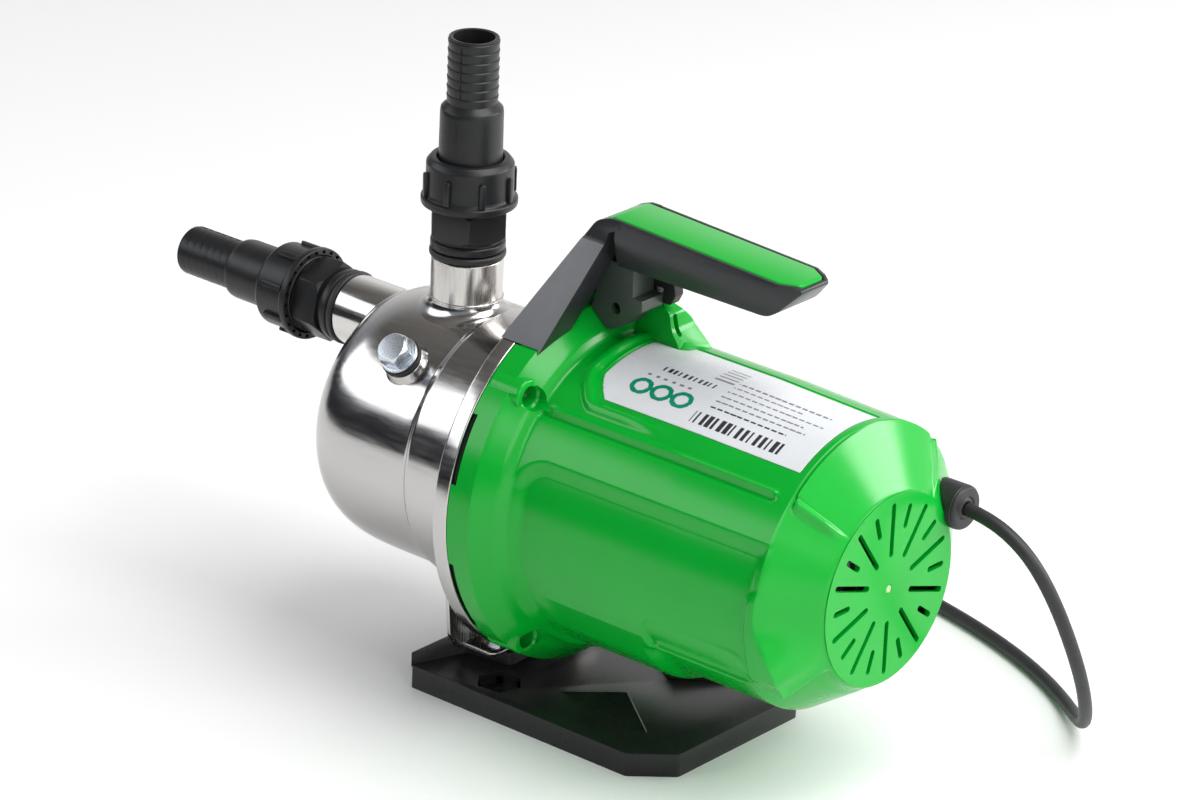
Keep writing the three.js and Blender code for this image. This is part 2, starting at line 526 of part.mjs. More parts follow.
function makeConnection(prefix, position, rotationY) {
  const group = new THREE.Group();
  group.position.copy(position);
  group.rotation.y = rotationY;
  model.add(group);
  const bore = 13.5;
  place(`${prefix}_thread_seal`, turned(ringProfile(16.7, 19, GAP, 4), 'z', 16), RUBBER, group);
  const hexTop = 27.2;
  const spigot = turned([[bore, -13], [16.1, -13], [16.1, 4 + GAP], [19.2, 4 + GAP], [19.2, 11.6], [17, 11.6], [17, hexTop],
    [bore, hexTop]], 'z', 16);
  const hex = cut(hexagon(37, 11.4, hexTop), turned(cylinderProfile(15, 0, 40), 'z', 12));
  place(`${prefix}_nipple`, join(spigot, hex), FITTING, group);
  const thread = turned(ringProfile(bore, 20.3, hexTop + GAP, 44), 'z', 16);
  place(`${prefix}_nipple_thread`, thread, FITTING, group);
  place(`${prefix}_gasket`, turned(ringProfile(bore, 19.6, 44 + GAP, 46.3), 'z', 16), RUBBER, group);
  place(`${prefix}_hose_tail`, turned(hoseTailProfile(), 'z', 16), FITTING, group);
  let nut = turned([[20.8, 28], [24.4, 28], [24.4, 32.6], [22.2, 33.4], [22.2, 50.5], [19.8, 52.7], [16.5, 52.7],
    [16.5, 49.4], [20.8, 49.4]], 'z', 16);
  for (let i = 0; i < 8; i++) {
    const rib = block(21.4, 24, -2.6, 2.6, 32, 48.5);
    nut = join(nut, rib.rotateZ(radians(i * 45 + 11)));
  }
  place(`${prefix}_union_nut`, nut, FITTING, group);
}
makeConnection('discharge', new THREE.Vector3(DISCHARGE_X, 0, DISCHARGE_TOP), 0);
makeConnection('suction', new THREE.Vector3(SUCTION_END, 0, SUCTION_Z), -Math.PI / 2);

// ---------------------------------------------------------------- electrical parts
function makeElectrics() {
  const capacitor = turned(cylinderProfile(5, 24, 58), 'x', 16);
  place('capacitor', moved(capacitor, 0, 0, SHAFT_Z - 66.6), NYLON);
  const gland = turned([[CORD_R + GAP, 143], [8, 143], [8, GLAND.start], [GLAND.radius, GLAND.start],
    [GLAND.radius, GLAND.end - 3], [GLAND.radius - 1.5, GLAND.end], [CORD_R + GAP, GLAND.end]], 'x', 20);
  const outside = shaftTurned([[0, 90], [BARREL_R + GAP, 90], [BARREL_R + GAP, SHROUD.shoulder],
    [SHROUD.grilleRadius + GAP, SHROUD.rear + GAP], [0, SHROUD.rear + GAP]], 48);
  const placed = moved(gland, 0, GLAND.y, GLAND.z);
  const neck = moved(turned(ringProfile(CORD_R + GAP, 8, 143, 168), 'x', 20), 0, GLAND.y, GLAND.z);
  place('cable_gland', join(cut(placed, outside), neck), RUBBER);
}
makeElectrics();

// ---------------------------------------------------------------- mains lead
const LEAD_ROUTE = [
  [172.3, 52, 142], [186, 52, 140.8], [200, 52.5, 135.5], [213, 55, 123.5], [222, 61, 104], [226, 71, 80],
  [225, 84, 56], [218.5, 99, 34], [207, 116, 16], [192, 133, 6.4], [172, 150, 4], [148, 165, 3.8], [120, 178, 3.8],
  [90, 188.5, 3.8], [60, 196.5, 3.8], [30, 202.5, 3.8], [0, 207, 3.8], [-34, 210.6, 3.8],
];
const LEAD_END = [[-90, 211.5, 12.6], [-97, 211.5, 15.2], [-104, 211.5, 17.9], [-109, 211.5, 18.6], [-113.6, 211.5, 18.6]];
function makeLead() {
  const round = (radius, sides) => new THREE.Shape(Array.from({ length: sides }, (_, i) => new THREE.Vector2(
    radius * Math.cos((2 * Math.PI * i) / sides), radius * Math.sin((2 * Math.PI * i) / sides))));
  const tube = (points, steps) => new THREE.ExtrudeGeometry(round(CORD_R, 8), {
    steps, extrudePath: new THREE.CatmullRomCurve3(points.map((p) => new THREE.Vector3(...p))) });
  place('mains_lead', closed(tube(LEAD_ROUTE, 28)), RUBBER);
  place('mains_lead_coil', moved(turned(ringProfile(COIL.inner, COIL.outer, 0, COIL.height), 'z', 32), COIL.x, COIL.y, 0), RUBBER);
  place('mains_lead_end', closed(tube(LEAD_END, 4)), RUBBER);
  const x = PLUG.entryX;
  const plug = turned([[0, x - PLUG.length], [16.5, x - PLUG.length], [PLUG.radius, x - PLUG.length + 3],
    [PLUG.radius, x - 28], [13, x - 20], [7.5, x - 16], [5.5, x], [0, x]], 'x', 20);
  const pins = [-9.5, 9.5].map((dy) => moved(turned(cylinderProfile(2.7, x - PLUG.length - 1, x - PLUG.length + 9), 'x', 12), 0, PLUG.y + dy, PLUG.z));
  place('mains_plug', cut(moved(plug, 0, PLUG.y, PLUG.z), ...pins), RUBBER);
  [-9.5, 9.5].forEach((dy, i) => {
    const pin = turned(cylinderProfile(2.4, x - PLUG.length - PLUG.pin, x - PLUG.length + 8.5), 'x', 12);
    place(`plug_pin_${i + 1}`, moved(pin, 0, PLUG.y + dy, PLUG.z), BRASS);
  });
}
makeLead();

export default model;
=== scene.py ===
"""Shallow well jet pump: looks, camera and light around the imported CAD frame."""
import bpy
import bmesh
import math
from mathutils import Matrix, Vector


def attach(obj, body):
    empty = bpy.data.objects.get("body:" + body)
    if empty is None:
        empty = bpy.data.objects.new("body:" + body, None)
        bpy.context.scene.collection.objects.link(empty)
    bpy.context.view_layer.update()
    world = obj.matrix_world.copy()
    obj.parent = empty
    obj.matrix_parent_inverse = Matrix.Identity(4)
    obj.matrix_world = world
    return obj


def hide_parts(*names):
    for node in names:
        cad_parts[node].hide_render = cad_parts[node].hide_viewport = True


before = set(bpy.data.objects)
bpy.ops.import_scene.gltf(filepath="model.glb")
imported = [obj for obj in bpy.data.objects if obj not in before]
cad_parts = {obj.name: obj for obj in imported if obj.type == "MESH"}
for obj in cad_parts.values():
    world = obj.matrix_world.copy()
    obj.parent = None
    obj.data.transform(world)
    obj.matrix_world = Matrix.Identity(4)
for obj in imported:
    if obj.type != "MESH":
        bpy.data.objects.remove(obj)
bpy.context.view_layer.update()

MM = 0.001
TAU = 2 * math.pi
SHAFT_Z = 114.5
AXIS = (0, 0, SHAFT_Z)


# ---- small maths
def smooth(low, high, value):
    t = min(1.0, max(0.0, (value - low) / (high - low)))
    return t * t * (3 - 2 * t)


def mix(a, b, t):
    return a + (b - a) * t


def ramp(points, value):
    """Straight-line interpolation through (value, result) pairs."""
    if value <= points[0][0]:
        return points[0][1]
    for (x0, y0), (x1, y1) in zip(points, points[1:]):
        if value <= x1:
            return mix(y0, y1, (value - x0) / (x1 - x0))
    return points[-1][1]


def rounded(points, close=False, step=16):
    """Replaces each corner (a, b, radius) by an arc; (a, b) stays sharp."""
    result = []
    count = len(points)
    for i, point in enumerate(points):
        radius = point[2] if len(point) > 2 else 0
        here = Vector(point[:2])
        if not radius or (not close and i in (0, count - 1)):
            result.append((here.x, here.y))
            continue
        before = Vector(points[i - 1][:2]) - here
        after = Vector(points[(i + 1) % count][:2]) - here
        half = before.angle(after) / 2
        cut = min(radius / math.tan(half), before.length * 0.49, after.length * 0.49)
        radius = cut * math.tan(half)
        middle = here + (before.normalized() + after.normalized()).normalized() * radius / math.sin(half)
        start = here + before.normalized() * cut - middle
        end = here + after.normalized() * cut - middle
        turn = math.atan2(start.x * end.y - start.y * end.x, start.dot(end))
        steps = max(2, math.ceil(abs(turn) / math.radians(step)))
        base = math.atan2(start.y, start.x)
        for k in range(steps + 1):
            angle = base + turn * k / steps
            result.append((middle.x + radius * math.cos(angle), middle.y + radius * math.sin(angle)))
    return result


def around(radius, degrees):
    """y, z of a point about the shaft; 0 is up and angles grow towards the camera side."""
    angle = math.radians(degrees)
    return -radius * math.sin(angle), SHAFT_Z + radius * math.cos(angle)


# ---- meshes, in millimetres
def add_object(name, data):
    obj = bpy.data.objects.new(name, data)
    bpy.context.scene.collection.objects.link(obj)
    return obj


def make(name, verts, faces):
    mesh = bpy.data.meshes.new(name)
    mesh.from_pydata([Vector(v) * MM for v in verts], [], faces)
    mesh.validate()
    bm = bmesh.new()
    bm.from_mesh(mesh)
    bmesh.ops.remove_doubles(bm, verts=bm.verts, dist=1e-6)
    bmesh.ops.dissolve_degenerate(bm, edges=bm.edges, dist=1e-7)
    bmesh.ops.recalc_face_normals(bm, faces=bm.faces)
    bm.to_mesh(mesh)
    bm.free()
    return add_object(name, mesh)


def turned(name, profile, axis="z", segments=96, at=(0, 0, 0)):
    """A solid of revolution; the profile is (radius, height) and closes on itself or on the axis."""
    verts, faces = [], []
    count = len(profile)
    for k in range(segments):
        angle = TAU * k / segments
        c, s = math.cos(angle), math.sin(angle)
        for r, h in profile:
            p = (h, r * s, r * c) if axis == "x" else (r * c, r * s, h)
            verts.append((p[0] + at[0], p[1] + at[1], p[2] + at[2]))
    on_axis = profile[0][0] < 1e-6 and profile[-1][0] < 1e-6
    for k in range(segments):
        a, b = k * count, ((k + 1) % segments) * count
        for i in range(count - 1 if on_axis else count):
            j = (i + 1) % count
            faces.append((a + i, b + i, b + j, a + j))
    return make(name, verts, faces)


def pushed(name, outline, plane, low, high):
    """An outline pushed between two levels of the axis that the plane leaves out."""
    def lift(p, level):
        return {"xy": (p[0], p[1], level), "xz": (p[0], level, p[1]), "yz": (level, p[0], p[1])}[plane]
    n = len(outline)
    verts = [lift(p, low) for p in outline] + [lift(p, high) for p in outline]
    faces = [tuple(range(n)), tuple(range(2 * n - 1, n - 1, -1))]
    faces += [(i, (i + 1) % n, n + (i + 1) % n, n + i) for i in range(n)]
    return make(name, verts, faces)


def block(name, x0, x1, y0, y1, z0, z1):
    return pushed(name, [(x0, y0), (x1, y0), (x1, y1), (x0, y1)], "xy", z0, z1)


def transform(obj, matrix):
    scaled = matrix.copy()
    scaled.translation *= MM
    obj.data.transform(scaled)
    return obj


def settle(obj):
    """Applies the object's modifiers to its mesh."""
    bpy.context.view_layer.update()
    graph = bpy.context.evaluated_depsgraph_get()
    mesh = bpy.data.meshes.new_from_object(obj.evaluated_get(graph))
    obj.modifiers.clear()
    obj.data = mesh
    return obj


def boolean(obj, tools, operation="DIFFERENCE"):
    for tool in tools:
        modifier = obj.modifiers.new("cut", "BOOLEAN")
        modifier.operation = operation
        modifier.solver = "EXACT"
        modifier.object = tool
    settle(obj)
    for tool in tools:
        bpy.data.objects.remove(tool)
    return obj


def bevel(obj, width, segments=3, angle=30):
    modifier = obj.modifiers.new("bevel", "BEVEL")
    modifier.width = width * MM
    modifier.segments = segments
    modifier.limit_method = "ANGLE"
    modifier.angle_limit = math.radians(angle)
    modifier.use_clamp_overlap = True
    return settle(obj)


def thicken(obj, thickness):
    modifier = obj.modifiers.new("sheet", "SOLIDIFY")
    modifier.thickness = thickness * MM
    modifier.offset = -1
    return settle(obj)


def join(name, objects):
    bm = bmesh.new()
    for obj in objects:
        bm.from_mesh(obj.data)
    mesh = bpy.data.meshes.new(name)
    bm.to_mesh(mesh)
    bm.free()
    for obj in objects:
        bpy.data.objects.remove(obj)
    return add_object(name, mesh)


def rod(name, radius, low, high, axis="z", segments=48, at=(0, 0, 0)):
    return turned(name, [(0, low), (radius, low), (radius, high), (0, high)], axis, segments, at)


def ring(name, corners, axis="z", segments=96, at=(0, 0, 0)):
    """A solid of revolution from a closed outline with rounded corners."""
    return turned(name, rounded(corners, True), axis, segments, at)


def hexagon(radius, centre=(0, 0), turn=0):
    angles = [math.radians(60 * i + turn) for i in range(6)]
    return [(centre[0] + radius * math.cos(a), centre[1] + radius * math.sin(a)) for a in angles]


def spin(axis, degrees):
    return Matrix.Rotation(math.radians(degrees), 4, axis)


def shift(x, y, z):
    return Matrix.Translation((x, y, z))


def common(obj, tool):
    return boolean(obj, [tool], "INTERSECT")


def finish_piece(obj, material, nodes=(), sharp=32, body="pump_body"):
    """Gives a mesh its material and body, and hides the CAD nodes that it stands for."""
    obj.data.materials.clear()
    obj.data.materials.append(material)
    obj.data.polygons.foreach_set("use_smooth", [True] * len(obj.data.polygons))
    obj.data.set_sharp_from_angle(angle=math.radians(sharp))
    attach(obj, body)
    if nodes:
        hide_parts(*nodes)
    return obj


# ---- materials
def add_node(nodes, kind, **values):
    node = nodes.new("ShaderNode" + kind)
    for name, value in values.items():
        node.inputs[name.replace("_", " ")].default_value = value
    return node


def shader(name, color, roughness, metallic=0.0, spread=0.06, grain=900, bump=0.02, stretch=(1, 1, 1),
           rough_spread=0.06, coat=0.0, anisotropic=0.0, specular=0.5):
    """A finish whose colour, gloss and surface all vary a little with one noise field."""
    material = bpy.data.materials.new(name)
    material.use_nodes = True
    nodes, links = material.node_tree.nodes, material.node_tree.links
    principled = nodes["Principled BSDF"]
    constants = {"Metallic": metallic, "Coat Weight": coat, "Coat Roughness": 0.08, "Anisotropic": anisotropic,
                 "Specular IOR Level": specular}
    for socket, value in constants.items():
        principled.inputs[socket].default_value = value
    place = add_node(nodes, "TexCoord")
    mapping = add_node(nodes, "Mapping", Scale=stretch)
    links.new(place.outputs["Object"], mapping.inputs["Vector"])
    broad = add_node(nodes, "TexNoise", Scale=grain / 14, Detail=4)
    fine = add_node(nodes, "TexNoise", Scale=grain, Detail=3)
    for noise in (broad, fine):
        links.new(mapping.outputs["Vector"], noise.inputs["Vector"])
    tint = add_node(nodes, "ValToRGB")
    for mark, position, share in zip(tint.color_ramp.elements, (0.3, 0.7), (1 - spread, 1 + spread)):
        mark.position = position
        mark.color = tuple(min(1, c * share) for c in color) + (1,)
    links.new(broad.outputs["Fac"], tint.inputs["Fac"])
    links.new(tint.outputs["Color"], principled.inputs["Base Color"])
    gloss = add_node(nodes, "MapRange", From_Min=0.3, From_Max=0.7, To_Min=max(0.02, roughness - rough_spread),
                     To_Max=roughness + rough_spread)
    links.new(fine.outputs["Fac"], gloss.inputs["Value"])
    links.new(gloss.outputs["Result"], principled.inputs["Roughness"])
    relief = add_node(nodes, "Bump", Strength=bump, Distance=0.0006)
    links.new(fine.outputs["Fac"], relief.inputs["Height"])
    links.new(relief.outputs["Normal"], principled.inputs["Normal"])
    return material


GREEN = shader("green_moulding", (0.0, 0.37, 0.026), 0.2, spread=0.04, grain=300, bump=0.005,
               rough_spread=0.02, specular=0.4)
GATE = shader("gate_mark", (0.45, 0.62, 0.3), 0.35, spread=0.05, grain=900, bump=0.02)
STEEL = shader("polished_steel", (0.54, 0.53, 0.52), 0.18, 1.0, spread=0.04, grain=420, bump=0.03,
               stretch=(0.12, 1, 1), rough_spread=0.05, anisotropic=0.2)
BRUSHED = shader("brushed_socket", (0.62, 0.6, 0.575), 0.24, 1.0, spread=0.05, grain=900, bump=0.05,
                 stretch=(1, 1, 0.06), rough_spread=0.07, anisotropic=0.3)
BRUSHED_X = shader("brushed_socket_x", (0.66, 0.645, 0.62), 0.17, 1.0, spread=0.05, grain=900, bump=0.04,
                   stretch=(0.06, 1, 1), rough_spread=0.06, anisotropic=0.3)
ZINC = shader("bright_zinc", (0.66, 0.71, 0.77), 0.3, 1.0, spread=0.05, grain=1400, bump=0.04)
SHAFT = shader("ground_steel", (0.6, 0.61, 0.63), 0.25, 1.0, grain=1500, bump=0.05, stretch=(0.1, 1, 1))
LAMINATED = shader("laminations", (0.3, 0.31, 0.32), 0.45, 0.9, spread=0.2, grain=1500, bump=0.3,
                   stretch=(1, 0.02, 0.02))
COPPER = shader("enamelled_copper", (0.5, 0.19, 0.06), 0.3, 0.9, spread=0.25, grain=1800, bump=0.3,
                stretch=(1, 0.2, 0.2))
BRASS = shader("machined_brass", (0.7, 0.47, 0.18), 0.22, 1.0, grain=1200, bump=0.05)
BASE_BLACK = shader("base_moulding", (0.016, 0.016, 0.0165), 0.3, spread=0.12, grain=900, bump=0.015,
                    rough_spread=0.03, specular=0.32)
# dark bracket colour with the green shroud's reflection painted in: a painted green tint that also makes it
# lighter
BRACKET_DARK_GREEN_REFLECTION = shader("bracket_dark_with_green_reflection", (0.05, 0.066, 0.056), 0.34, spread=0.06, grain=700, bump=0.01,
                 rough_spread=0.03, specular=0.45)
# a lighter copy of the handle moulding colour: painted light for the leg faces that face the key light
LEG_LIT_SIDE_GREY = shader("handle_lit_side_painted", (0.13, 0.131, 0.144), 0.42, spread=0.05, grain=1600, bump=0.03,
                    rough_spread=0.03, specular=0.5)
HANDLE_GREY = shader("handle_moulding", (0.022, 0.0225, 0.025), 0.3, spread=0.08, grain=1600, bump=0.02,
                     rough_spread=0.03, specular=0.4)
FITTING = shader("polypropylene", (0.012, 0.0125, 0.0135), 0.36, spread=0.15, grain=1700, bump=0.06,
                 specular=0.36)
CASTING = shader("black_casting", (0.014, 0.014, 0.015), 0.42, spread=0.2, grain=1300, bump=0.25)
NYLON = shader("natural_nylon", (0.7, 0.68, 0.6), 0.42, grain=1500, bump=0.06)
CERAMIC = shader("seal_ceramic", (0.82, 0.8, 0.75), 0.3, grain=1500, bump=0.04)
RUBBER = shader("black_rubber", (0.016, 0.016, 0.017), 0.5, spread=0.2, grain=2200, bump=0.12)
FILM = shader("label_film", (0.7, 0.72, 0.745), 0.24, spread=0.015, grain=1500, bump=0.01, coat=0.2)
INK = shader("label_ink_dark", (0.03, 0.03, 0.034), 0.3, spread=0.1, grain=1500, bump=0.01)
INK_PALE = shader("label_ink_grey", (0.2, 0.2, 0.22), 0.3, spread=0.1, grain=1500, bump=0.01)
INK_TEAL = shader("label_ink_teal", (0.0, 0.25, 0.13), 0.3, spread=0.06, grain=1500, bump=0.01)
FLOOR_WHITE = shader("studio_floor", (0.92, 0.92, 0.92), 0.6, spread=0.004, grain=20, bump=0.0, specular=0.2)
FLAG_CLOTH = shader("flag_cloth", (0.012, 0.013, 0.016), 0.9, spread=0.1, grain=60, bump=0.0, specular=0.1)


# ---- camera
CAMERA = Vector((1593.6, -1966.8, 1235.6))
YAW, PITCH, ROLL = -39.314, -22.987, 2.386
FOCAL_MM = 167.49


def make_camera():
    yaw, pitch, roll = (math.radians(a) for a in (YAW, PITCH, ROLL))
    look = Vector((math.sin(yaw) * math.cos(pitch), math.cos(yaw) * math.cos(pitch), math.sin(pitch)))
    right = look.cross(Vector((0, 0, 1))).normalized()
    up = right.cross(look)
    tilted = right * math.cos(roll) + up * math.sin(roll)
    up = tilted.cross(look)
    data = bpy.data.cameras.new("camera")
    data.lens = FOCAL_MM
    data.sensor_width = 36
    data.clip_end = 50
    camera = add_object("camera", data)
    turn = Matrix((tilted, up, -look)).transposed().to_4x4()
    camera.matrix_world = Matrix.Translation(CAMERA * MM) @ turn
    bpy.context.scene.camera = camera


make_camera()


# ---- mains lead
LEAD_RADIUS = 3.5
LEAD_ROUTE = [
    (172.3, 52, 142), (186, 52, 140.8), (200, 52.5, 135.5), (213, 55, 123.5), (222, 61, 104), (226, 71, 80),
    (225, 84, 56), (218.5, 99, 34), (207, 116, 16), (192, 133, 6.4), (172, 150, 4), (148, 165, 3.8),
    (120, 178, 3.8), (90, 188.5, 3.8), (60, 196.5, 3.8), (30, 202.5, 3.8), (0, 207, 3.8),
]
PLUG_X, PLUG_Y, PLUG_Z = -114, 211.5, 18.6
LEAD_END = [(x, PLUG_Y, z) for x, z in
            ((-90, 12.6), (-97, 15.2), (-104, 17.9), (-109, PLUG_Z), (-113.6, PLUG_Z))]
COIL_X, COIL_Y = -62, 168
COIL_RADIUS = 40
COIL_TURNS = 4
STEPS_PER_TURN = 24
TURN_OFFSET = 3.45
LAYER_HEIGHT = 6.8
TIE_TURN = 100


def coil_side(turn):
    """1 on the outer column of turns and -1 on the inner one."""
    if turn < 1:
        return 1
    if turn < 2:
        return mix(1, -1, smooth(0.85, 1.15, turn))
    return mix(-1, 1, smooth(2.85, 3.15, turn))


def coil_points():
    """Four turns, two side by side on the floor and two on top of them."""
    points = []
    start = math.atan2(LEAD_ROUTE[-1][1] - COIL_Y, LEAD_ROUTE[-1][0] - COIL_X) + math.radians(18)
    for i in range(COIL_TURNS * STEPS_PER_TURN + 1):
        turn = i / STEPS_PER_TURN
        angle = start + TAU * turn
        radius = COIL_RADIUS + TURN_OFFSET * coil_side(turn)
        height = LEAD_RADIUS + 0.2 + LAYER_HEIGHT * smooth(1.85, 2.15, turn)
        points.append((COIL_X + radius * math.cos(angle), COIL_Y + radius * math.sin(angle), height))
    return points


def make_lead():
    path = [Vector(p) * MM for p in LEAD_ROUTE + coil_points() + LEAD_END]
    data = bpy.data.curves.new("mains_lead_cable", "CURVE")
    data.dimensions = "3D"
    spline = data.splines.new("NURBS")
    spline.points.add(len(path) - 1)
    for point, p in zip(spline.points, path):
        point.co = (*p, 1)
    spline.order_u = 4
    spline.use_endpoint_u = True
    spline.resolution_u = 6
    data.bevel_depth = LEAD_RADIUS * MM
    data.bevel_resolution = 5
    data.use_fill_caps = True
    lead = add_object("mains_lead_cable", data)
    data.materials.append(RUBBER)
    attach(lead, "pump_body")
    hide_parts("mains_lead", "mains_lead_coil", "mains_lead_end")
    return lead


def make_plug():
    """A two pin plug lying along -X; its distances are counted from where the lead enters it."""
    x = PLUG_X
    sleeve = [(0, x, 0), (4.6, x, 0.8), (5.4, x - 4, 0.6), (4.8, x - 5.2), (4.8, x - 6.6), (5.9, x - 7.2, 0.4),
              (6.4, x - 10.5, 0.4), (5.6, x - 11.2), (5.6, x - 12.6), (7.2, x - 13.4, 0.6), (9, x - 18, 3)]
    body = [(13.5, x - 21, 4), (17.4, x - 28, 3), (18.4, x - 33, 1), (18.4, x - 47, 1.5), (17, x - 50, 1),
            (0, x - 50)]
    plug = turned("mains_plug_body", rounded(sleeve + body), "x", 64, (0, PLUG_Y, PLUG_Z))
    grooves = []
    for angle in (50, 70, 90, 110, 130, 230, 250, 270, 290, 310):
        groove = block("groove", x - 45, x - 34, -1.2, 1.2, 17.6, 19)
        grooves.append(transform(groove, shift(0, PLUG_Y, PLUG_Z) @ spin("X", angle)))
    plug = boolean(plug, grooves)
    finish_piece(plug, RUBBER, ["mains_plug"])
    pins = []
    for i, dy in enumerate((-9.5, 9.5), 1):
        tip = [(0, x - 69), (2.4, x - 69, 1.4), (2.4, x - 60), (2.25, x - 59.6), (2.25, x - 50.2),
               (0, x - 50.2)]
        pin = turned(f"plug_pin_{i}_turned", rounded(tip), "x", 32, (0, PLUG_Y + dy, PLUG_Z))
        pins.append(finish_piece(pin, BRASS, [f"plug_pin_{i}"]))
    return [plug] + pins


def loop_outline(half, low, high):
    """A rounded rectangle round one side of the coil."""
    a, b = COIL_RADIUS - half, COIL_RADIUS + half
    return rounded([(a, low, 2), (b, low, 2), (b, high, 2), (a, high, 2)], True)


def make_tie():
    tie = pushed("lead_tie", loop_outline(8.2, 0.2, 14.6), "yz", -5, 5)
    tie = boolean(tie, [pushed("tie_hole", loop_outline(7.2, -0.6, 13.9), "yz", -6, 6)])
    transform(tie, shift(COIL_X, COIL_Y, 0) @ spin("Z", TIE_TURN))
    return finish_piece(tie, FITTING)


lead = make_lead()
on_lead = make_plug() + [make_tie()]


# ---- base and foot
BASE_BOLT_X, BASE_BOLT_Y = -36, 47
PLINTH_TOP = 19
FOOT_BOLT_X, FOOT_BOLT_Y = -56, 24
SIDES = (-1, 1)


def mirrored(half):
    """Completes an outline whose points below y = 0 are given."""
    return half + [(x, -y, *rest) for x, y, *rest in reversed(half)]


def make_base():
    plan = mirrored([(-80.5, -64, 2), (61, -64, 3), (80.5, -46.5, 3)])
    body = pushed("base_moulded", rounded(plan, True, 30), "xy", 0, 12.3)
    plinth = [(-80.4, -63.6), (-70, -34, 3), (-44, -30, 4), (-44, 30, 4), (-70, 34, 3), (-80.4, 63.6)]
    body = boolean(body, [pushed("plinth", rounded(plinth, True, 30), "xy", 11, PLINTH_TOP)], "UNION")
    bolts = [(BASE_BOLT_X, side * BASE_BOLT_Y) for side in SIDES]
    cuts = []
    for x, y in bolts:
        cuts.append(pushed("sink", hexagon(12.3, (x, y), 10), "xy", 6, 30))
        cuts.append(rod("hole", 4.5, -1, 8, "z", 32, (x, y, 0)))
    hollow = mirrored([(-77.5, -61, 2), (60, -61, 3), (77.5, -45, 3)])
    hollow = pushed("hollow", rounded(hollow, True, 30), "xy", -1, 9.3)
    ribs = [block("rib", -82, 82, y - 1.2, y + 1.2, -2, 10) for y in (-32, 0, 32)]
    ribs += [block("rib", x - 1.2, x + 1.2, -70, 70, -2, 10) for x in (-40, 0, 40)]
    ribs.append(rod("pad", 14, -2, 10, "z", 40))
    ribs += [rod("pad", 11.5, -2, 10, "z", 40, (x, y, 0)) for x, y in bolts]
    cuts.append(boolean(hollow, ribs))
    body = boolean(body, cuts)
    bevel(body, 0.7, 2, 25)
    wedges = []
    for side in SIDES:
        corners = [(-11, side * 35, 11.8), (58, side * 41.5, 11.8), (21, side * 14.5, 11.8),
                   (25, side * 20, 18.5)]
        wedge = make("wedge", corners, [(0, 1, 2), (0, 1, 3), (1, 2, 3), (2, 0, 3)])
        wedges.append(bevel(wedge, 0.7, 1, 10))
    body = join("base_moulded", [body] + wedges)
    finish_piece(body, BASE_BLACK, ["base"], 28)


def make_foot():
    """The bent steel saddle on the plinth and the two bolts through it."""
    floor = PLINTH_TOP + 0.3
    plate = rounded([(-71, -40, 4), (-46, -40, 4), (-46, 40, 4), (-71, 40, 4)], True)
    plate = pushed("foot_plate", plate, "xy", floor, floor + 2)
    upright = [(-44, floor, 3), (44, floor, 3), (50, floor + 9, 3), (52, floor + 31, 2), (38, floor + 31),
               (-38, floor + 31), (-52, floor + 31, 2), (-50, floor + 9, 3)]
    wall = pushed("foot_wall", rounded(upright, True), "yz", -69, -66.8)
    wall = boolean(wall, [rod("room", 71.6, -90, -40, "x", 128, AXIS)])
    bracket = boolean(plate, [wall], "UNION")
    holes = [rod("hole", 3.5, 15, 25, "z", 32, (FOOT_BOLT_X, side * FOOT_BOLT_Y, 0)) for side in SIDES]
    bracket = boolean(bracket, holes)
    bevel(bracket, 0.5, 2)
    finish_piece(bracket, BRUSHED, ["foot_bracket"])
    for side, name in zip(SIDES, ("right", "left")):
        y = side * FOOT_BOLT_Y
        head = pushed("bolt", hexagon(5.7, (FOOT_BOLT_X, y), 8), "xy", floor + 2.3, floor + 6.6)
        cap = [(0, floor), (9, floor), (9, floor + 5.6), (4.9, floor + 7.4), (0, floor + 7.4)]
        head = common(head, turned("cap", rounded(cap), "z", 40, (FOOT_BOLT_X, y, 0)))
        shank = rod("shank", 3, 5, floor + 3, "z", 24, (FOOT_BOLT_X, y, 0))
        bolt = join(f"foot_bolt_{name}_hex", [head, shank])
        finish_piece(bolt, ZINC, [f"foot_bolt_{name}"])


# ---- steel casing
CASING_R = 68.7
DOME = {"start": -91.0, "depth": 70.4, "along": 5.0, "across": 4.8}
TUBE_R, TUBE_WALL = 18.3, 1.8
DISCHARGE_X, SUCTION_Z = -106.5, 158.2
DISCHARGE_END, SUCTION_END = 209.5, -180.8
PLUG_PLACE_X, PLUG_ANGLE = -104, 43


def dome_radius(x):
    if x >= DOME["start"]:
        return CASING_R
    t = min(1.0, (DOME["start"] - x) / DOME["depth"])
    return CASING_R * (1 - t ** DOME["along"]) ** (1 / DOME["across"])


def dome_x(radius):
    t = min(0.995, radius / CASING_R)
    return DOME["start"] - DOME["depth"] * (1 - t ** DOME["across"]) ** (1 / DOME["along"])


def casing_profile():
    """The closed end as a superellipse, then the neck ring, the clamp flange and the inner face."""
    outer = []
    steps = 44
    for i in range(steps + 1):
        a = math.pi / 2 * (1 - i / steps)
        outer.append((CASING_R * math.cos(a) ** (2 / DOME["across"]),
                      DOME["start"] - DOME["depth"] * math.sin(a) ** (2 / DOME["along"])))
    outer[0] = (0, outer[0][1])
    body = rounded([(CASING_R, -90), (CASING_R, -84.6, 4), (71.2, -81.2, 4), (71.2, -50.5, 9),
                    (91.5, -43.6, 2.5), (94.9, -41.9, 1.6), (94.9, -33.2, 1.3), (93.1, -33.2, 0.6),
                    (93.1, -40.3, 0.6), (69.2, -40.6, 2), (69, -78, 2), (66.9, -84, 2), (66.9, -90)], False, 9)
    inner = [(max(0, r - 2), h + 2 * (1 if r < 40 else 0.6)) for r, h in reversed(outer[2:])]
    inner = [(r, h) for r, h in inner if h < -92]
    return outer + body + inner + [(0, outer[0][1] + 2)]


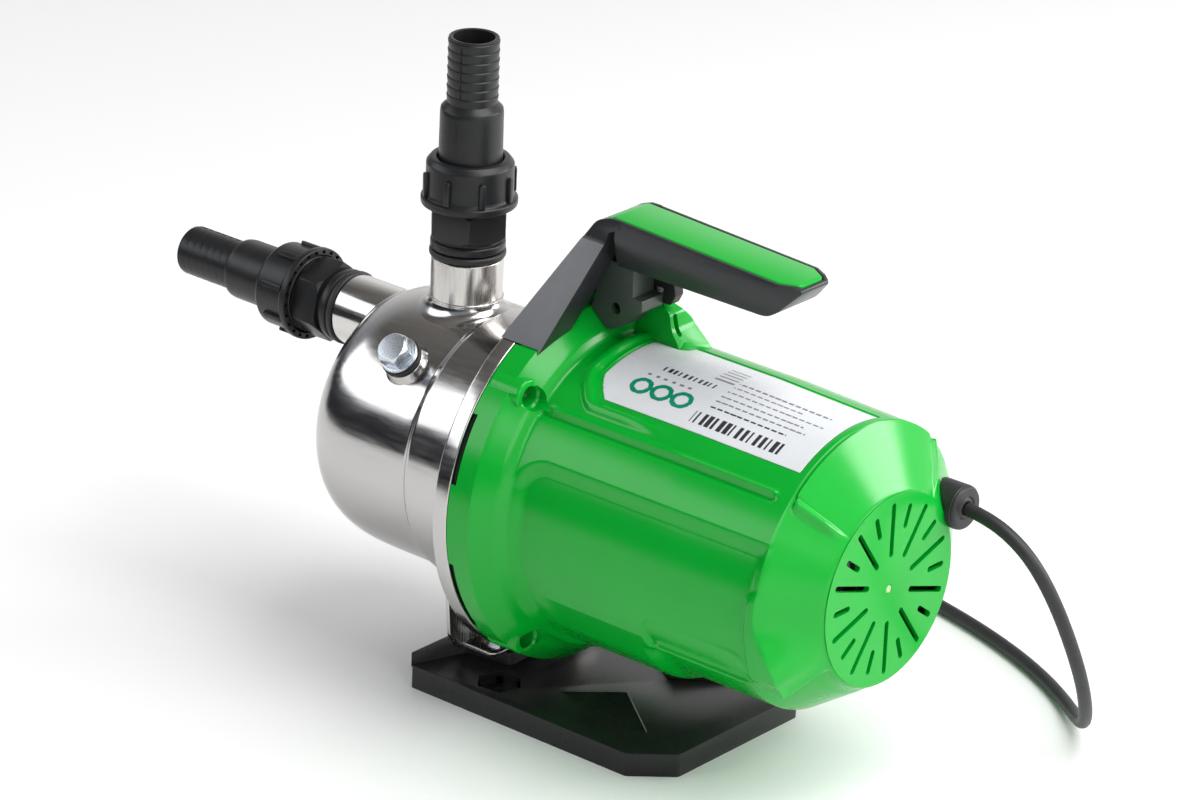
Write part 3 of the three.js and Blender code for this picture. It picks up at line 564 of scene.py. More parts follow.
def collar(tube, fillet, surface, segments=96):
    """The pulled neck between casing and socket; surface(angle, radius, lift) is a point off the casing."""
    verts, faces = [], []
    steps = 12
    rows = steps + 2
    for k in range(segments):
        angle = TAU * k / segments
        size = fillet(angle)
        for i in range(steps + 1):
            a = math.pi / 2 * i / steps
            sunk = 0.25 if i == 0 else 0
            verts.append(surface(angle, tube + size * (1 - math.sin(a)), size * (1 - math.cos(a)) - sunk))
        verts.append(surface(angle, tube, size + 1.2))
    for k in range(segments):
        a, b = k * rows, ((k + 1) % segments) * rows
        faces += [(a + i, b + i, b + i + 1, a + i + 1) for i in range(rows - 1)]
    obj = make("neck", verts, faces)
    return thicken(obj, 0.8)


def above_casing(angle, radius, lift):
    x = DISCHARGE_X + radius * math.cos(angle)
    y = radius * math.sin(angle)
    return (x, y, SHAFT_Z + math.sqrt(max(0, dome_radius(x) ** 2 - y * y)) + lift)


def ahead_of_casing(angle, radius, lift):
    y = radius * math.cos(angle)
    z = SUCTION_Z + radius * math.sin(angle)
    return (dome_x(math.hypot(y, z - SHAFT_Z)) - lift, y, z)


def on_shell(x, radius, degrees):
    """A frame whose Z points straight out of a cylinder about the shaft."""
    return shift(x, *around(radius, degrees)) @ spin("X", degrees)


def make_casing():
    body = turned("casing_pressed", casing_profile(), "x", 200, AXIS)
    body = boolean(body, [rod("hole", TUBE_R - TUBE_WALL, 160, 230, "z", 64, (DISCHARGE_X, 0, 0)),
                          rod("hole", TUBE_R - TUBE_WALL, -190, -130, "x", 64, (0, 0, SUCTION_Z))])
    necks = [collar(TUBE_R, lambda a: 6.5, above_casing),
             collar(TUBE_R, lambda a: mix(5.5, 2.0, smooth(-0.3, 0.9, math.sin(a))), ahead_of_casing)]
    boss = ring("boss", [(6.8, -2), (12.6, -2), (11.2, 1.4, 2), (10.4, 3.6, 0.7), (6.8, 3.6)], "z", 64)
    transform(boss, on_shell(PLUG_PLACE_X, CASING_R, PLUG_ANGLE))
    dimple = turned("dimple", rounded([(0, -1), (3, -1), (2.4, 1.4, 0.9), (0, 1.6)]), "z", 24)
    transform(dimple, on_shell(-50, 71, 50))
    body = join("casing_pressed", [body] + necks + [boss, dimple])
    finish_piece(body, STEEL, ["casing", "casing_flange"], 40)
    outlet = [(16.7, 182), (18.35, 182), (18.35, 209.4, 0.6), (16.7, 209.4, 0.4)]
    bead = [(17.5, 187.2), (18.9, 187.4, 0.4), (18.95, 188.6, 0.4), (17.5, 188.8)]
    parts = [ring("tube", shape, "z", 96, (DISCHARGE_X, 0, 0)) for shape in (outlet, bead)]
    socket = join("discharge_socket_tube", parts)
    finish_piece(socket, BRUSHED, ["discharge_socket"])
    inlet = [(16.7, -146), (18.35, -146), (18.35, -180.7, 0.6), (16.7, -180.7, 0.4)]
    socket = ring("suction_socket_tube", inlet, "x", 96, (0, 0, SUCTION_Z))
    finish_piece(socket, BRUSHED_X, ["suction_socket"])


def make_priming_plug():
    turn = on_shell(PLUG_PLACE_X, 69, PLUG_ANGLE)
    washer = [(6.9, 3.9, 0.4), (10.5, 3.9, 0.5), (10.5, 6.2, 0.5), (6.9, 6.2, 0.4)]
    washer = ring("priming_washer_ring", washer, "z", 64)
    finish_piece(transform(washer, turn), RUBBER, ["priming_washer"], body="plug_washer")
    pitch = 1.5
    stem = [(0, -6.8), (5.6, -6.8)]
    for i in range(8):
        level = pitch * i
        stem += [(5.6, level - 6.6), (6.3, level - 5.95), (5.6, level - 5.3)]
    stem += rounded([(5.6, 6.55), (9.9, 6.55, 0.7), (9.9, 8.7, 0.8), (0, 8.7)])[1:]
    stem = turned("stem", stem, "z", 48)
    head = pushed("head", hexagon(9.0, (0, 0), 8), "xy", 8.2, 17)
    dome = rounded([(0, 8), (12, 8), (9.15, 9.6), (9.15, 14.4), (7.1, 16.9, 0.7), (0, 17)])
    head = common(head, turned("dome", dome, "z", 64))
    bevel(head, 0.2, 2, 25)
    plug = transform(join("priming_plug_hex", [stem, head]), turn)
    finish_piece(plug, ZINC, ["priming_plug", "priming_plug_thread"], 25, "plug")


# ---- hose unions
NIPPLE = [(13.5, -12.8), (16.1, -12.8, 0.5), (16.1, 4.3), (17.8, 4.5), (19.0, 5.2, 1), (19.0, 8.8, 1.2),
          (17.3, 9.6, 0.5), (17.3, 11.6), (17.2, 27.2), (19.6, 27.4)]
NIPPLE_END = [(19.4, 43.0), (19.4, 43.9, 0.4), (13.5, 43.9, 0.4), (13.5, 30)]
HEX_CHAMFER = [(15, 11.5), (19.3, 11.5), (21.2, 13.3), (21.2, 25.4), (19.3, 27.2), (15, 27.2)]
TAIL = [(10.5, 46.7), (20.2, 46.7, 0.4), (20.2, 48.9, 0.5), (16.1, 48.9), (15.9, 76.2, 0.5), (15.6, 78.4, 1.2),
        (13.2, 80.8, 0.8)]
TAIL_END = [(12.75, 115.1, 0.9), (11.9, 115.4, 0.4), (10.5, 115.0, 0.5)]
NUT = [(20.8, 28.1, 0.3), (24.2, 28.1, 0.6), (24.4, 29.5, 0.4), (24.4, 31.6, 0.9), (22.6, 32.6, 0.8),
       (22.15, 34, 0.8), (22.1, 49.6, 1.6), (19.9, 52.4, 1.4), (17.2, 52.7, 0.8), (16.55, 51.6, 0.4),
       (16.55, 49.4, 0.3), (20.8, 49.4, 0.4)]
THREAD_PITCH, BARB_PITCH = 2.31, 4.75


def make_nipple():
    thread = []
    for i in range(6):
        level = 28.6 + i * THREAD_PITCH
        thread += [(19.4, level), (20.3, level + 0.75), (20.3, level + 1.1), (19.4, level + 1.85)]
    nipple = turned("nipple", rounded(NIPPLE) + thread + rounded(NIPPLE_END), "z", 96)
    hexed = pushed("hexed", hexagon(21.36, (0, 0), 12), "xy", 11.6, 27.1)
    hexed = common(hexed, ring("chamfer", HEX_CHAMFER))
    bevel(hexed, 0.35, 2, 25)
    return [nipple, hexed]


def make_tail(turn):
    """The hose tail with its barbs, and the mould seams down two sides."""
    barbs = []
    for i in range(7):
        level = 81.4 + i * BARB_PITCH
        barbs += [(12.55, level), (13.0, level + BARB_PITCH - 0.9, 0.25), (12.45, level + BARB_PITCH - 0.45)]
    pieces = [turned("tail", rounded(TAIL + barbs + TAIL_END, False, 20), "z", 96)]
    for inside, outside, low, high in ((12.3, 13.1, 84, 113), (15.7, 16.08, 54, 75)):
        for angle in (turn, turn + 180):
            seam = block("seam", inside, outside, -0.12, 0.12, low, high)
            pieces.append(transform(seam, spin("Z", angle)))
    return pieces


def make_nut(turn):
    """The nut with a ring of small pockets and eight rounded grip ribs."""
    nut = turned("nut", rounded(NUT, True, 12), "z", 128)
    pockets = [transform(block("pocket", 21.6, 23.3, -1.1, 1.1, 27, 30), spin("Z", 15 * i)) for i in range(24)]
    pieces = [boolean(nut, [join("pockets", pockets)])]
    outline = rounded([(-1.6, 32.5), (1.6, 32.5), (1.6, 45.4, 1.59), (-1.6, 45.4, 1.59)], True)
    for i in range(8):
        rib = bevel(pushed("rib", outline, "yz", 21.4, 24.0), 0.9, 3, 40)
        pieces.append(transform(rib, spin("Z", i * 45 + turn)))
    return pieces


def make_union(prefix, matrix, turn):
    """Nipple, seal, gasket, nut and tail along local +Z from the end of the steel socket."""
    def put(obj, material, nodes, body="pump_body"):
        nodes = [f"{prefix}_{node}" for node in nodes]
        finish_piece(transform(obj, matrix), material, nodes, body=body)

    seal = [(16.7, 0.4, 0.8), (19.4, 0.4, 1.7), (19.4, 4.1, 1.7), (16.7, 4.1, 0.8)]
    gasket = [(13.5, 44.35, 0.3), (19.5, 44.35, 0.3), (19.5, 46.2, 0.3), (13.5, 46.2, 0.3)]
    tail, nut = f"{prefix}_tail", f"{prefix}_nut"
    put(ring(f"{prefix}_thread_seal_ring", seal, "z", 80), RUBBER, ["thread_seal"])
    nipple = join(f"{prefix}_nipple_turned", make_nipple())
    put(nipple, FITTING, ["nipple", "nipple_thread"])
    put(ring(f"{prefix}_gasket_ring", gasket, "z", 64), RUBBER, ["gasket"], tail)
    put(join(f"{prefix}_hose_tail_ribbed", make_tail(turn)), FITTING, ["hose_tail"], tail)
    put(join(f"{prefix}_union_nut_ribbed", make_nut(turn)), FITTING, ["union_nut"], nut)


# ---- motor shroud
SHROUD_PROFILE = [(-30.5, 93.6), (-29.7, 94.6), (-19.2, 94.6), (-18.2, 93.8), (-9.4, 86.2), (-8.4, 84.6),
                  (-6.6, 81.4), (-5.6, 81.0), (81, 80.8), (106, 80), (140, 79), (166.4, 78.4)]
REAR_X = 166.4
RIM_R = 94.6
WALL = 1.8
INNER_WALL = [(163.4, 46.5), (150, 72), (146, 74.2), (132, 74.4), (78, 74.4), (66, 74.4), (16, 74.4), (2, 74.4),
              (-12, 74.4), (-22, 86.5), (-30.5, 87)]
CONE = {"start": 145.5, "swing": 11, "end": 165.2, "radius": 50.6, "face": 49.2, "low_start": 72}
SCOOP = {"half": 40.5, "start": 148.0, "top": 78.2, "slope": 1.66, "rib": 5.5}
PANEL = {"x0": -7.5, "x1": 147.0, "open_end": 187.0, "top": 60.5, "bottom": 152.0, "corner": 19.0, "wall": 8.0,
         "depth": 4.2}
RIDGE = {"angle": 43.0, "height": 1.7, "groove_angle": 45.6, "groove": 1.4}
FOLD = {"radius": 77.0, "angle": 124.5, "half": 10}
BELLY = {"radius": 72, "taper_x": 132, "taper": 0.66}
BLOCK = {"x0": 72, "x1": 137, "corner": 9, "face": 76.4, "low_face": 74.0, "lip_angle": 120.4, "lip": 2.6}
LABEL = {"x0": 6.0, "x1": 141.5, "low": -12.5, "high": 33.0, "end_radius": 43, "depth": 0.9, "rim": 2.3}


def girth(degrees):
    """Length round the barrel in mm that belongs to an angle."""
    return math.radians(degrees) * 80


def bump_at(value, centre, width):
    return math.exp(-((value - centre) / width) ** 2)


def rounded_box(u, v, u0, u1, v0, v1, corner):
    """Signed distance to a rounded rectangle, negative inside."""
    du = abs(u - (u0 + u1) / 2) - ((u1 - u0) / 2 - corner)
    dv = abs(v - (v0 + v1) / 2) - ((v1 - v0) / 2 - corner)
    return math.hypot(max(du, 0), max(dv, 0)) + min(max(du, dv), 0) - corner


def label_distance(x, degrees):
    """Signed distance to the label's outline: round at the front end, square at the rear."""
    x0, x1, end = LABEL["x0"], LABEL["x1"], LABEL["end_radius"]
    v = girth(degrees)
    v0, v1 = girth(LABEL["low"]), girth(LABEL["high"])
    if x > (x0 + x1) / 2:
        return rounded_box(x, v, x0, x1, v0, v1, 0.6)
    round_end = math.hypot(x - x0 - end, v - 13) - end if x < x0 + end else -100
    corner = rounded_box(x, v, x0 + 4, x1, v0, v1, 6)
    saddle = rounded_box(x, v, -60, 27, -60, -9.4, 4)
    return max(round_end, corner, 1.6 - saddle)


def soft_step(low, high, value):
    """A straight ramp from 0 to 1 with lightly rounded ends."""
    t = min(1.0, max(0.0, (value - low) / (high - low)))
    return t - 0.06 * math.sin(TAU * t)


def cone(x, degrees, side, start_radius):
    """The tapered tail; its front edge swings back under the panel's rear pad and along the belly."""
    swing = smooth(88, 112, degrees) if degrees > 0 else smooth(120, 150, side)
    start = CONE["start"] + CONE["swing"] * swing
    if x <= start:
        return 1000.0
    return max(CONE["radius"], mix(start_radius, CONE["radius"], (x - start) / (CONE["end"] - start)))


def with_ridge(r, x, side):
    """The long ridge with its groove."""
    ridge = bump_at(side, RIDGE["angle"], 1.0) * RIDGE["height"]
    groove = bump_at(side, RIDGE["groove_angle"], 0.9) * RIDGE["groove"]
    return r + (ridge - groove) * smooth(-16, -12, x) * (1 - smooth(135, 139, x))


def with_panel(r, x, side):
    """The side panel, sunk below the barrel up to the pad in front of the tail."""
    arc = girth(side)
    box = rounded_box(x, arc, PANEL["x0"], PANEL["open_end"], girth(PANEL["top"]), girth(PANEL["bottom"]),
                      PANEL["corner"])
    pad = rounded_box(x, arc, 138, 220, girth(78), girth(180), 9)
    inside = soft_step(0, PANEL["wall"], -max(box, x - PANEL["x1"]))
    return r - PANEL["depth"] * inside * soft_step(-3.5, 1.0, pad)


def with_belly(r, x, side):
    """The folded belly, drawn in further and tapered towards the tail."""
    if side > 112 and x > 2:
        off = min(side, FOLD["angle"] + FOLD["half"]) - FOLD["angle"]
        flat = FOLD["radius"] * math.cos(math.radians(FOLD["half"])) / math.cos(math.radians(off))
        r = mix(r, min(r, flat), smooth(2, 16, x) * smooth(112, 117, side))
    if side > 120 and x > 60:
        under = BELLY["radius"] - BELLY["taper"] * max(0, x - BELLY["taper_x"])
        r = mix(r, min(r, under), smooth(121, 127, side) * smooth(66, 78, x))
    return r


def with_block(r, x, side):
    """The lower block with a lip along its bottom edge."""
    edge = rounded_box(x, girth(side), BLOCK["x0"], BLOCK["x1"], girth(105), girth(150), BLOCK["corner"])
    face = mix(BLOCK["face"], BLOCK["low_face"], (side - 105) / 14)
    lip = BLOCK["lip"] * bump_at(side, BLOCK["lip_angle"], 1.3) * smooth(76, 80, x)
    raised = soft_step(0, 2.6, -edge) * (1 - smooth(121.8, 124.5, side))
    return mix(r, face + lip, raised)


def with_scoop(r, x, side, barrel):
    """The scoop down to the top of the grille, with a rib on each side of it."""
    scoop = SCOOP["top"] - SCOOP["slope"] * (x - SCOOP["start"])
    inside = 1 - smooth(SCOOP["half"], SCOOP["half"] + 2.6, side)
    rib = SCOOP["rib"] * bump_at(side, SCOOP["half"] + 3.2, 2.0)
    rib *= smooth(146, 150, x) * (1 - smooth(159, 165, x))
    return mix(r + rib, max(CONE["face"], min(barrel, scoop)), inside)


def with_label_bed(r, x, degrees):
    """The raised rim round the front of the label and the bed under it."""
    d = label_distance(x, degrees)
    if x < 70:
        rim = LABEL["rim"] * math.exp(-((d - 6.5) / 3.1) ** 4)
        r += rim * (1 - smooth(36, 41, degrees)) * (1 - smooth(40, 70, x))
    return r - LABEL["depth"] * (1 - smooth(0, LABEL["depth"], d))


def shroud_radius(x, degrees):
    side = abs(degrees)
    barrel = ramp(SHROUD_PROFILE, x)
    r = barrel
    if -17 < x < 139 and side < 60:
        r = with_ridge(r, x, side)
    if side > 55 and x > -9:
        r = with_panel(r, x, side)
    r = with_belly(r, x, side)
    if 100 < side < 127 and 66 < x < 142:
        r = with_block(r, x, side)
    r = min(r, cone(x, degrees, side, mix(r, min(r, CONE["low_start"]), smooth(112, 122, side))))
    if x > SCOOP["start"] - 1:
        r = with_scoop(r, x, side, barrel)
    if x > CONE["end"] + 0.4:
        r = min(r, CONE["face"])
    if -14 < degrees < 44 and x < 150:
        r = with_label_bed(r, x, degrees)
    return r


def stations(breaks, coarse, fine):
    """Grid lines: coarse in between, fine near every break."""
    values = set()
    for a, b in zip(breaks, breaks[1:]):
        span = b - a
        steps = max(1, math.ceil(span / (fine if span < 8 else coarse)))
        values.update(round(a + span * k / steps, 4) for k in range(steps))
    values.add(breaks[-1])
    return sorted(values)


def make_shroud_shell():
    """The moulding as one closed body: an outer skin over (x, angle) and a plainer inner wall."""
    xs = stations([-30.5, -29.7, -19.2, -18.2, -9.4, -5.6, 2, 9.9, 10.9, 18, 40, 66, 73, 80, 86, 118, 126, 133,
                   140, 145.4, 145.6, 149, 155, 156.3, 156.7, 160, 165.2, 165.7, REAR_X], 1.6, 0.7)
    ts = stations([-180, -135, -125.5, -119, -112, -104, -76, -70, -60, -47, -40, -14, -10, 30, 36, 42, 48, 54,
                   60, 67, 74, 80, 86, 102, 108, 114, 120, 126, 134, 136, 180], 1.5, 0.4)[:-1]
    rows = len(ts)
    verts = [(x, *around(shroud_radius(x, t), t)) for x in xs for t in ts]
    for x, r in INNER_WALL:
        verts += [(x, *around(min(r, shroud_radius(x, t) - WALL), t)) for t in ts]
    rear, layers = len(xs) - 1, len(xs) + len(INNER_WALL)
    faces = []
    for i in range(layers):
        if i == rear:
            continue
        here, there = i * rows, (i + 1) % layers * rows
        for k in range(rows):
            j = (k + 1) % rows
            faces.append((here + k, here + j, there + j, there + k))
    centre = len(verts)
    verts += [(REAR_X, 0, SHAFT_Z), (INNER_WALL[0][0], 0, SHAFT_Z)]
    for k in range(rows):
        j = (k + 1) % rows
        faces.append((rear * rows + k, rear * rows + j, centre))
        faces.append(((rear + 1) * rows + j, (rear + 1) * rows + k, centre + 1))
    return make("motor_shroud_shell", verts, faces)


BOSS_ANGLES = (43, -43, 141, -141)
BOSS_PITCH = 87
TABS = ((30, 55), (-55, -30), (77, 103), (-103, -77), (130, 152), (-152, -130))
SLOT_HALF = 1.55
GLAND_Y, GLAND_Z = 52, 142


def slot_outline(half, low, high):
    points = []
    for centre, start in ((high - half, 0), (low + half, math.pi)):
        for k in range(9):
            a = start + math.pi * k / 8
            points.append((half * math.cos(a), centre + half * math.sin(a)))
    return points


def make_tab(low, high):
    """One of the curved tongues that reach over the casing's flange."""
    steps = 16
    outline = [around(RIM_R, mix(low, high, k / steps)) for k in range(steps + 1)]
    outline += [around(RIM_R - 1.45, mix(high - 1.5, low + 1.5, k / steps)) for k in range(steps + 1)]
    return pushed("tab", outline, "yz", -32.7, -29.6)


def make_saddle():
    """The hump under the handle, with a slot in its outer end."""
    side = [(-7, 176), (-3, 207, 5), (0, 214.8, 4), (10, 214.8, 6), (17, 210, 4), (19, 202, 7), (28, 190.5, 6),
            (30, 176)]
    end = [(5, 176), (8.6, 197, 6), (9.6, 212, 4), (12, 215, 3), (16, 214.5, 6), (26, 204, 9), (34, 176)]
    saddle = common(pushed("saddle", rounded(side, True), "xz", 4, 38),
                    pushed("saddle_end", rounded(end, True), "yz", -12, 60))
    bevel(saddle, 1.2, 3, 30)
    slot = rounded([(11.6, 198.5, 1.5), (14.6, 198.5, 1.5), (14.6, 209.5, 1.5), (11.6, 209.5, 1.5)], True)
    return boolean(saddle, [pushed("slot", slot, "yz", 15, 60)])


def make_shroud():
    boss_places = [(0, *around(BOSS_PITCH, angle)) for angle in BOSS_ANGLES]
    boss = rounded([(0, -31.2), (8.6, -31.2), (8.6, -13, 1.6), (0, -12.2)])
    additions = [turned("boss", boss, "x", 48, place) for place in boss_places]
    additions += [make_tab(low, high) for low, high in TABS]
    additions.append(make_saddle())
    shell = boolean(make_shroud_shell(), additions, "UNION")
    cuts = []
    for i in range(20):
        low, high = (30.5, 43.0) if i % 2 else (16.8, 45.0)
        cutter = pushed("slot", slot_outline(SLOT_HALF, low, high), "yz", 158, 172)
        cuts.append(transform(cutter, shift(*AXIS) @ spin("X", 18 * i)))
    bore = rounded([(0, -40), (2.4, -40), (2.4, -24.2), (5.2, -24.2), (5.3, -12.8, 0.5), (6.4, -11.6), (6.4, 0),
                    (0, 0)])
    cuts += [turned("bore", bore, "x", 40, place) for place in boss_places]
    dimple = rounded([(0, 165.6), (2.2, 165.9, 0.3), (2.8, 167), (0, 167)])
    cuts.append(turned("dimple", dimple, "x", 32, AXIS))
    shell = boolean(shell, [join("cuts", cuts)])
    shell = boolean(shell, [rod("gland_hole", 8.2, 130, 168, "x", 48, (0, GLAND_Y, GLAND_Z))])
    shell.name = "motor_shroud_moulded"
    finish_piece(shell, GREEN, ["motor_shroud"], 30)
    mark = rounded([(0, 165.2), (1.9, 165.2), (1.9, 166.3, 0.3), (1.1, 166.5, 0.3), (0.9, 166.1), (0, 166.1)])
    finish_piece(turned("grille_gate_mark", mark, "x", 32, AXIS), GATE)
    profile = rounded([(0, -38.4), (1.9, -38.4), (1.9, -23.7), (4, -23.7, 0.3), (4, -22, 1.2), (0, -20.9)])
    for i, place in enumerate(boss_places, 1):
        cross = [transform(block("cross", -23, -19, -0.55, 0.55, -2.3, 2.3), shift(*place) @ spin("X", angle))
                 for angle in (20, 110)]
        screw = boolean(turned("screw", profile, "x", 40, place), cross)
        finish_piece(screw, ZINC, [f"shroud_screw_{i}"])
        screw.name = f"shroud_screw_{i}_cross"


# ---- rating label
FILM_INDEX, INK_INDEX, PALE_INDEX, TEAL_INDEX = range(4)
LABEL_COLUMNS, LABEL_ROWS = 260, 120
TEXT_LENGTHS = (46, 54, 50, 58, 42, 56)


def label_ink(x, t):
    """The ink at one place: generic bars and a plain ring mark; the print reads along the shaft."""
    across = girth(t)
    for cx in (33, 45.5, 58):
        if 3.6 < math.hypot(x - cx, (across - 30.5) * 1.1) < 6.3:
            return TEAL_INDEX
    if 70 < x < 124 and 33.5 < across < 41 and (x % 3.6) < (2.3 if x % 10.8 < 7.2 else 1.2):
        return INK_INDEX
    if 34 < x < 66 and 12 < across < 16 and (x % 3.1) < (1.9 if x % 9.3 < 6.2 else 1.0):
        return INK_INDEX
    if 30 < x < 60 and 20.5 < across < 22 and (x % 5) < 2.2:
        return PALE_INDEX
    for i, length in enumerate(TEXT_LENGTHS):
        level = 27.5 - 4.6 * i
        if level < across < level + 1.2 and 74 < x < 74 + length and (x * 1.7 + i) % 7 < 5.4:
            return PALE_INDEX if i else INK_INDEX
    if 60 < x < 72 and -8 < across < 8 and (across % 3.2) < 1.3:
        return PALE_INDEX
    return FILM_INDEX


def make_label():
    """A thin printed film on the barrel; each small face of it carries one ink."""
    xs = [mix(LABEL["x0"], LABEL["x1"], k / LABEL_COLUMNS) for k in range(LABEL_COLUMNS + 1)]
    ts = [mix(LABEL["low"], LABEL["high"], k / LABEL_ROWS) for k in range(LABEL_ROWS + 1)]
    verts = [Vector((x, *around(shroud_radius(x, t) + 0.28, t))) * MM for x in xs for t in ts]
    rows = len(ts)
    faces, inks = [], []
    for i in range(LABEL_COLUMNS):
        for k in range(LABEL_ROWS):
            x, t = (xs[i] + xs[i + 1]) / 2, (ts[k] + ts[k + 1]) / 2
            if label_distance(x, t) > -0.5:
                continue
            here = i * rows + k
            faces.append((here, here + 1, here + rows + 1, here + rows))
            inks.append(label_ink(x, t))
    mesh = bpy.data.meshes.new("rating_label_print")
    mesh.from_pydata(verts, [], faces)
    label = add_object("rating_label_print", mesh)
    for material in (FILM, INK, INK_PALE, INK_TEAL):
        mesh.materials.append(material)
    mesh.polygons.foreach_set("material_index", inks)
    mesh.polygons.foreach_set("use_smooth", [True] * len(faces))
    bm = bmesh.new()
    bm.from_mesh(mesh)
    bmesh.ops.delete(bm, geom=[v for v in bm.verts if not v.link_faces], context="VERTS")
    bm.to_mesh(mesh)
    bm.free()
    thicken(label, 0.15)
    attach(label, "pump_body")
    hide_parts("rating_label")


# ---- motor bracket
def make_bracket():
    profile = [(16, -40.1), (70.4, -40.1), (70.4, -38), (75.9, -38), (75.9, -40.1), (92.5, -40.1, 0.8),
               (92.5, -31.9, 0.8), (76, -31.6, 1), (76, -27.6, 1), (26, -27.6, 2), (22, -13.1, 1),
               (17.8, -13.1), (17.8, -24.1), (9, -24.1), (9, -36), (16, -36)]
    bracket = turned("motor_bracket_cast", rounded(profile, True, 30), "x", 160, AXIS)
    holes = [rod("hole", 2.3, -39, -20, "x", 20, (0, *around(BOSS_PITCH, angle))) for angle in BOSS_ANGLES]
    bracket = boolean(bracket, holes)
    finish_piece(bracket, CASTING, ["motor_bracket"])


# ---- handle
LEG_SLOPE_NORMAL = 0.87
LEG_TOP = 0.2475
HANDLE_WIDE = 62


def side_prism(name, outline, half=HANDLE_WIDE, step=16):
    """An outline in the XZ plane, pushed the same way to both sides."""
    return pushed(name, rounded(outline, True, step), "xz", -half, half)


def shroud_room():
    """The shroud with its clearance, as a cutter for the parts that stand on it."""
    profile = [(0, -60), (95.4, -60), (95.4, -18.6), (86.6, -8.3), (85.2, 30), (0, 30)]
    return turned("room", profile, "x", 160, AXIS)


def make_legs():
    side = [(-51, 179), (-18.6, 247.5, 5), (-10.5, 259, 9), (-2, 262, 4), (4, 262), (4, 257.5),
            (-2.4, 254.7, 2), (-21.4, 179)]
    front = [(-58, 179), (-17, 249.5, 7), (-15.8, 263), (15.8, 263), (17, 249.5, 7), (58, 179)]
    legs = common(pushed("legs", rounded(front, True, 14), "yz", -60, 5), side_prism("profile", side, step=14))
    hollow = [(-54.8, 175), (-14.2, 246.5), (-12.5, 257), (12.5, 257), (14.2, 246.5), (54.8, 175)]
    behind = [(-49.5, 175), (-16.4, 244.5), (-8, 257), (20, 257), (20, 175)]
    hollow = common(pushed("hollow", hollow, "yz", -60, 20), side_prism("behind", behind))
    # a narrow flange turns inwards along the rear edge of each leg
    flange = side_prism("flange", [(-24.2, 175), (-5.2, 254), (20, 257), (20, 175)])
    gap = pushed("gap", [(-45, 170), (-5, 240), (-4, 258), (4, 258), (5, 240), (45, 170)], "yz", -60, 30)
    return boolean(legs, [boolean(hollow, [boolean(flange, [gap])])])


def make_grip():
    plan = mirrored([(-10, -15.8), (101, -15.8, 3), (113.5, -9.5, 2.5)])
    taper = [(-15.8, 268), (-16, 252, 4), (-12.6, 236, 2), (12.6, 236, 2), (16, 252, 4), (15.8, 268)]
    side = [(0.8, 237.4), (0.8, 261.9), (108, 256.7, 2), (113, 254.6, 1.5), (101.5, 242.6, 3), (94, 237.4, 14)]
    grip = pushed("grip", rounded(plan, True), "xy", 237.2, 266)
    grip = common(grip, pushed("taper", rounded(taper, True), "yz", -12, 120))
    return common(grip, side_prism("profile", side, step=14))


def strip(name, side, plan):
    """A long strip from its side view and one half of its plan."""
    return common(side_prism(name, side, 20, 14), pushed("plan", rounded(mirrored(plan), True), "xy", 245, 270))


def make_handle():
    body = boolean(make_legs(), [make_grip()], "UNION")
    body = boolean(body, [shroud_room()])
    bevel(body, 0.9, 3, 28)
    tray = [(-14, 254.6), (-8.4, 261.4, 6), (-2, 266), (112, 264), (112, 253.2), (-1, 258.7, 4), (-12.4, 251.6)]
    tray = strip("tray", tray, [(-30, -14.3), (101, -14.3, 3), (110.6, -8.8, 3)])
    body = boolean(body, [tray])
    body.name = "handle_moulded"
    finish_piece(body, HANDLE_GREY, ["handle_body"], 26)
    # leg faces turned towards the key light get the lighter copy: painted light on the same moulding as the
    # grip
    body.data.materials.append(LEG_LIT_SIDE_GREY)
    for face in body.data.polygons:
        on_leg = face.center.x < 0.001 and face.center.z < LEG_TOP
        if on_leg and abs(abs(face.normal.y) - LEG_SLOPE_NORMAL) < 0.05:
            face.material_index = 1
    cover = [(-14, 254.3), (-8.6, 259.7, 6), (-2, 262.2, 4), (112, 256.8), (112, 253.6), (-1.4, 259.2, 4),
             (-11.6, 252.9)]
    cover = strip("handle_cover_strip", cover, [(-30, -13.7), (100.7, -13.7, 3), (109.9, -8.4, 3)])
    bevel(cover, 0.8, 3, 30)
    finish_piece(cover, GREEN, ["handle_cover"], 26)


def make_handle_bracket():
    plate = [(-26, 193.5, 1), (-17, 213, 1), (-13, 236.4), (7.2, 236.4), (7.4, 221, 0.6), (13.4, 220.6, 0.8),
             (13.4, 214.8, 0.8), (4.5, 208.5, 1), (2, 204.5, 1), (-9, 199, 1.5), (-14, 193, 1)]
    hollow = [(-23, 188), (-15, 213, 1), (-11, 232), (4.8, 232), (4.8, 219, 1), (0, 206, 1), (-9, 188)]
    eye = transform(rod("eye", 3, -12, 12, "z", 40), shift(-3, 0, 212.5) @ spin("X", 90))
    plate = side_prism("handle_bracket_plate", plate, 8)
    plate = boolean(plate, [side_prism("hollow", hollow, 5.4), shroud_room(), eye])
    bevel(plate, 0.4, 2)
    # the bracket's colour holds a painted reflection of the green shroud
    finish_piece(plate, BRACKET_DARK_GREEN_REFLECTION, ["handle_bracket"], 18)
    foot = rounded([(3.1, 215.4), (18, 215.4, 2), (20.8, 221, 2), (18, 236.8), (3.1, 236.8)], True)
    foot = pushed("handle_foot_clip", foot, "xz", 8.4, 14.9)
    foot = boolean(foot, [block("slot", 9, 13, 0, 30, 219, 223)])
    bevel(foot, 0.4, 2)
    finish_piece(foot, BASE_BLACK, ["handle_foot"], 20)


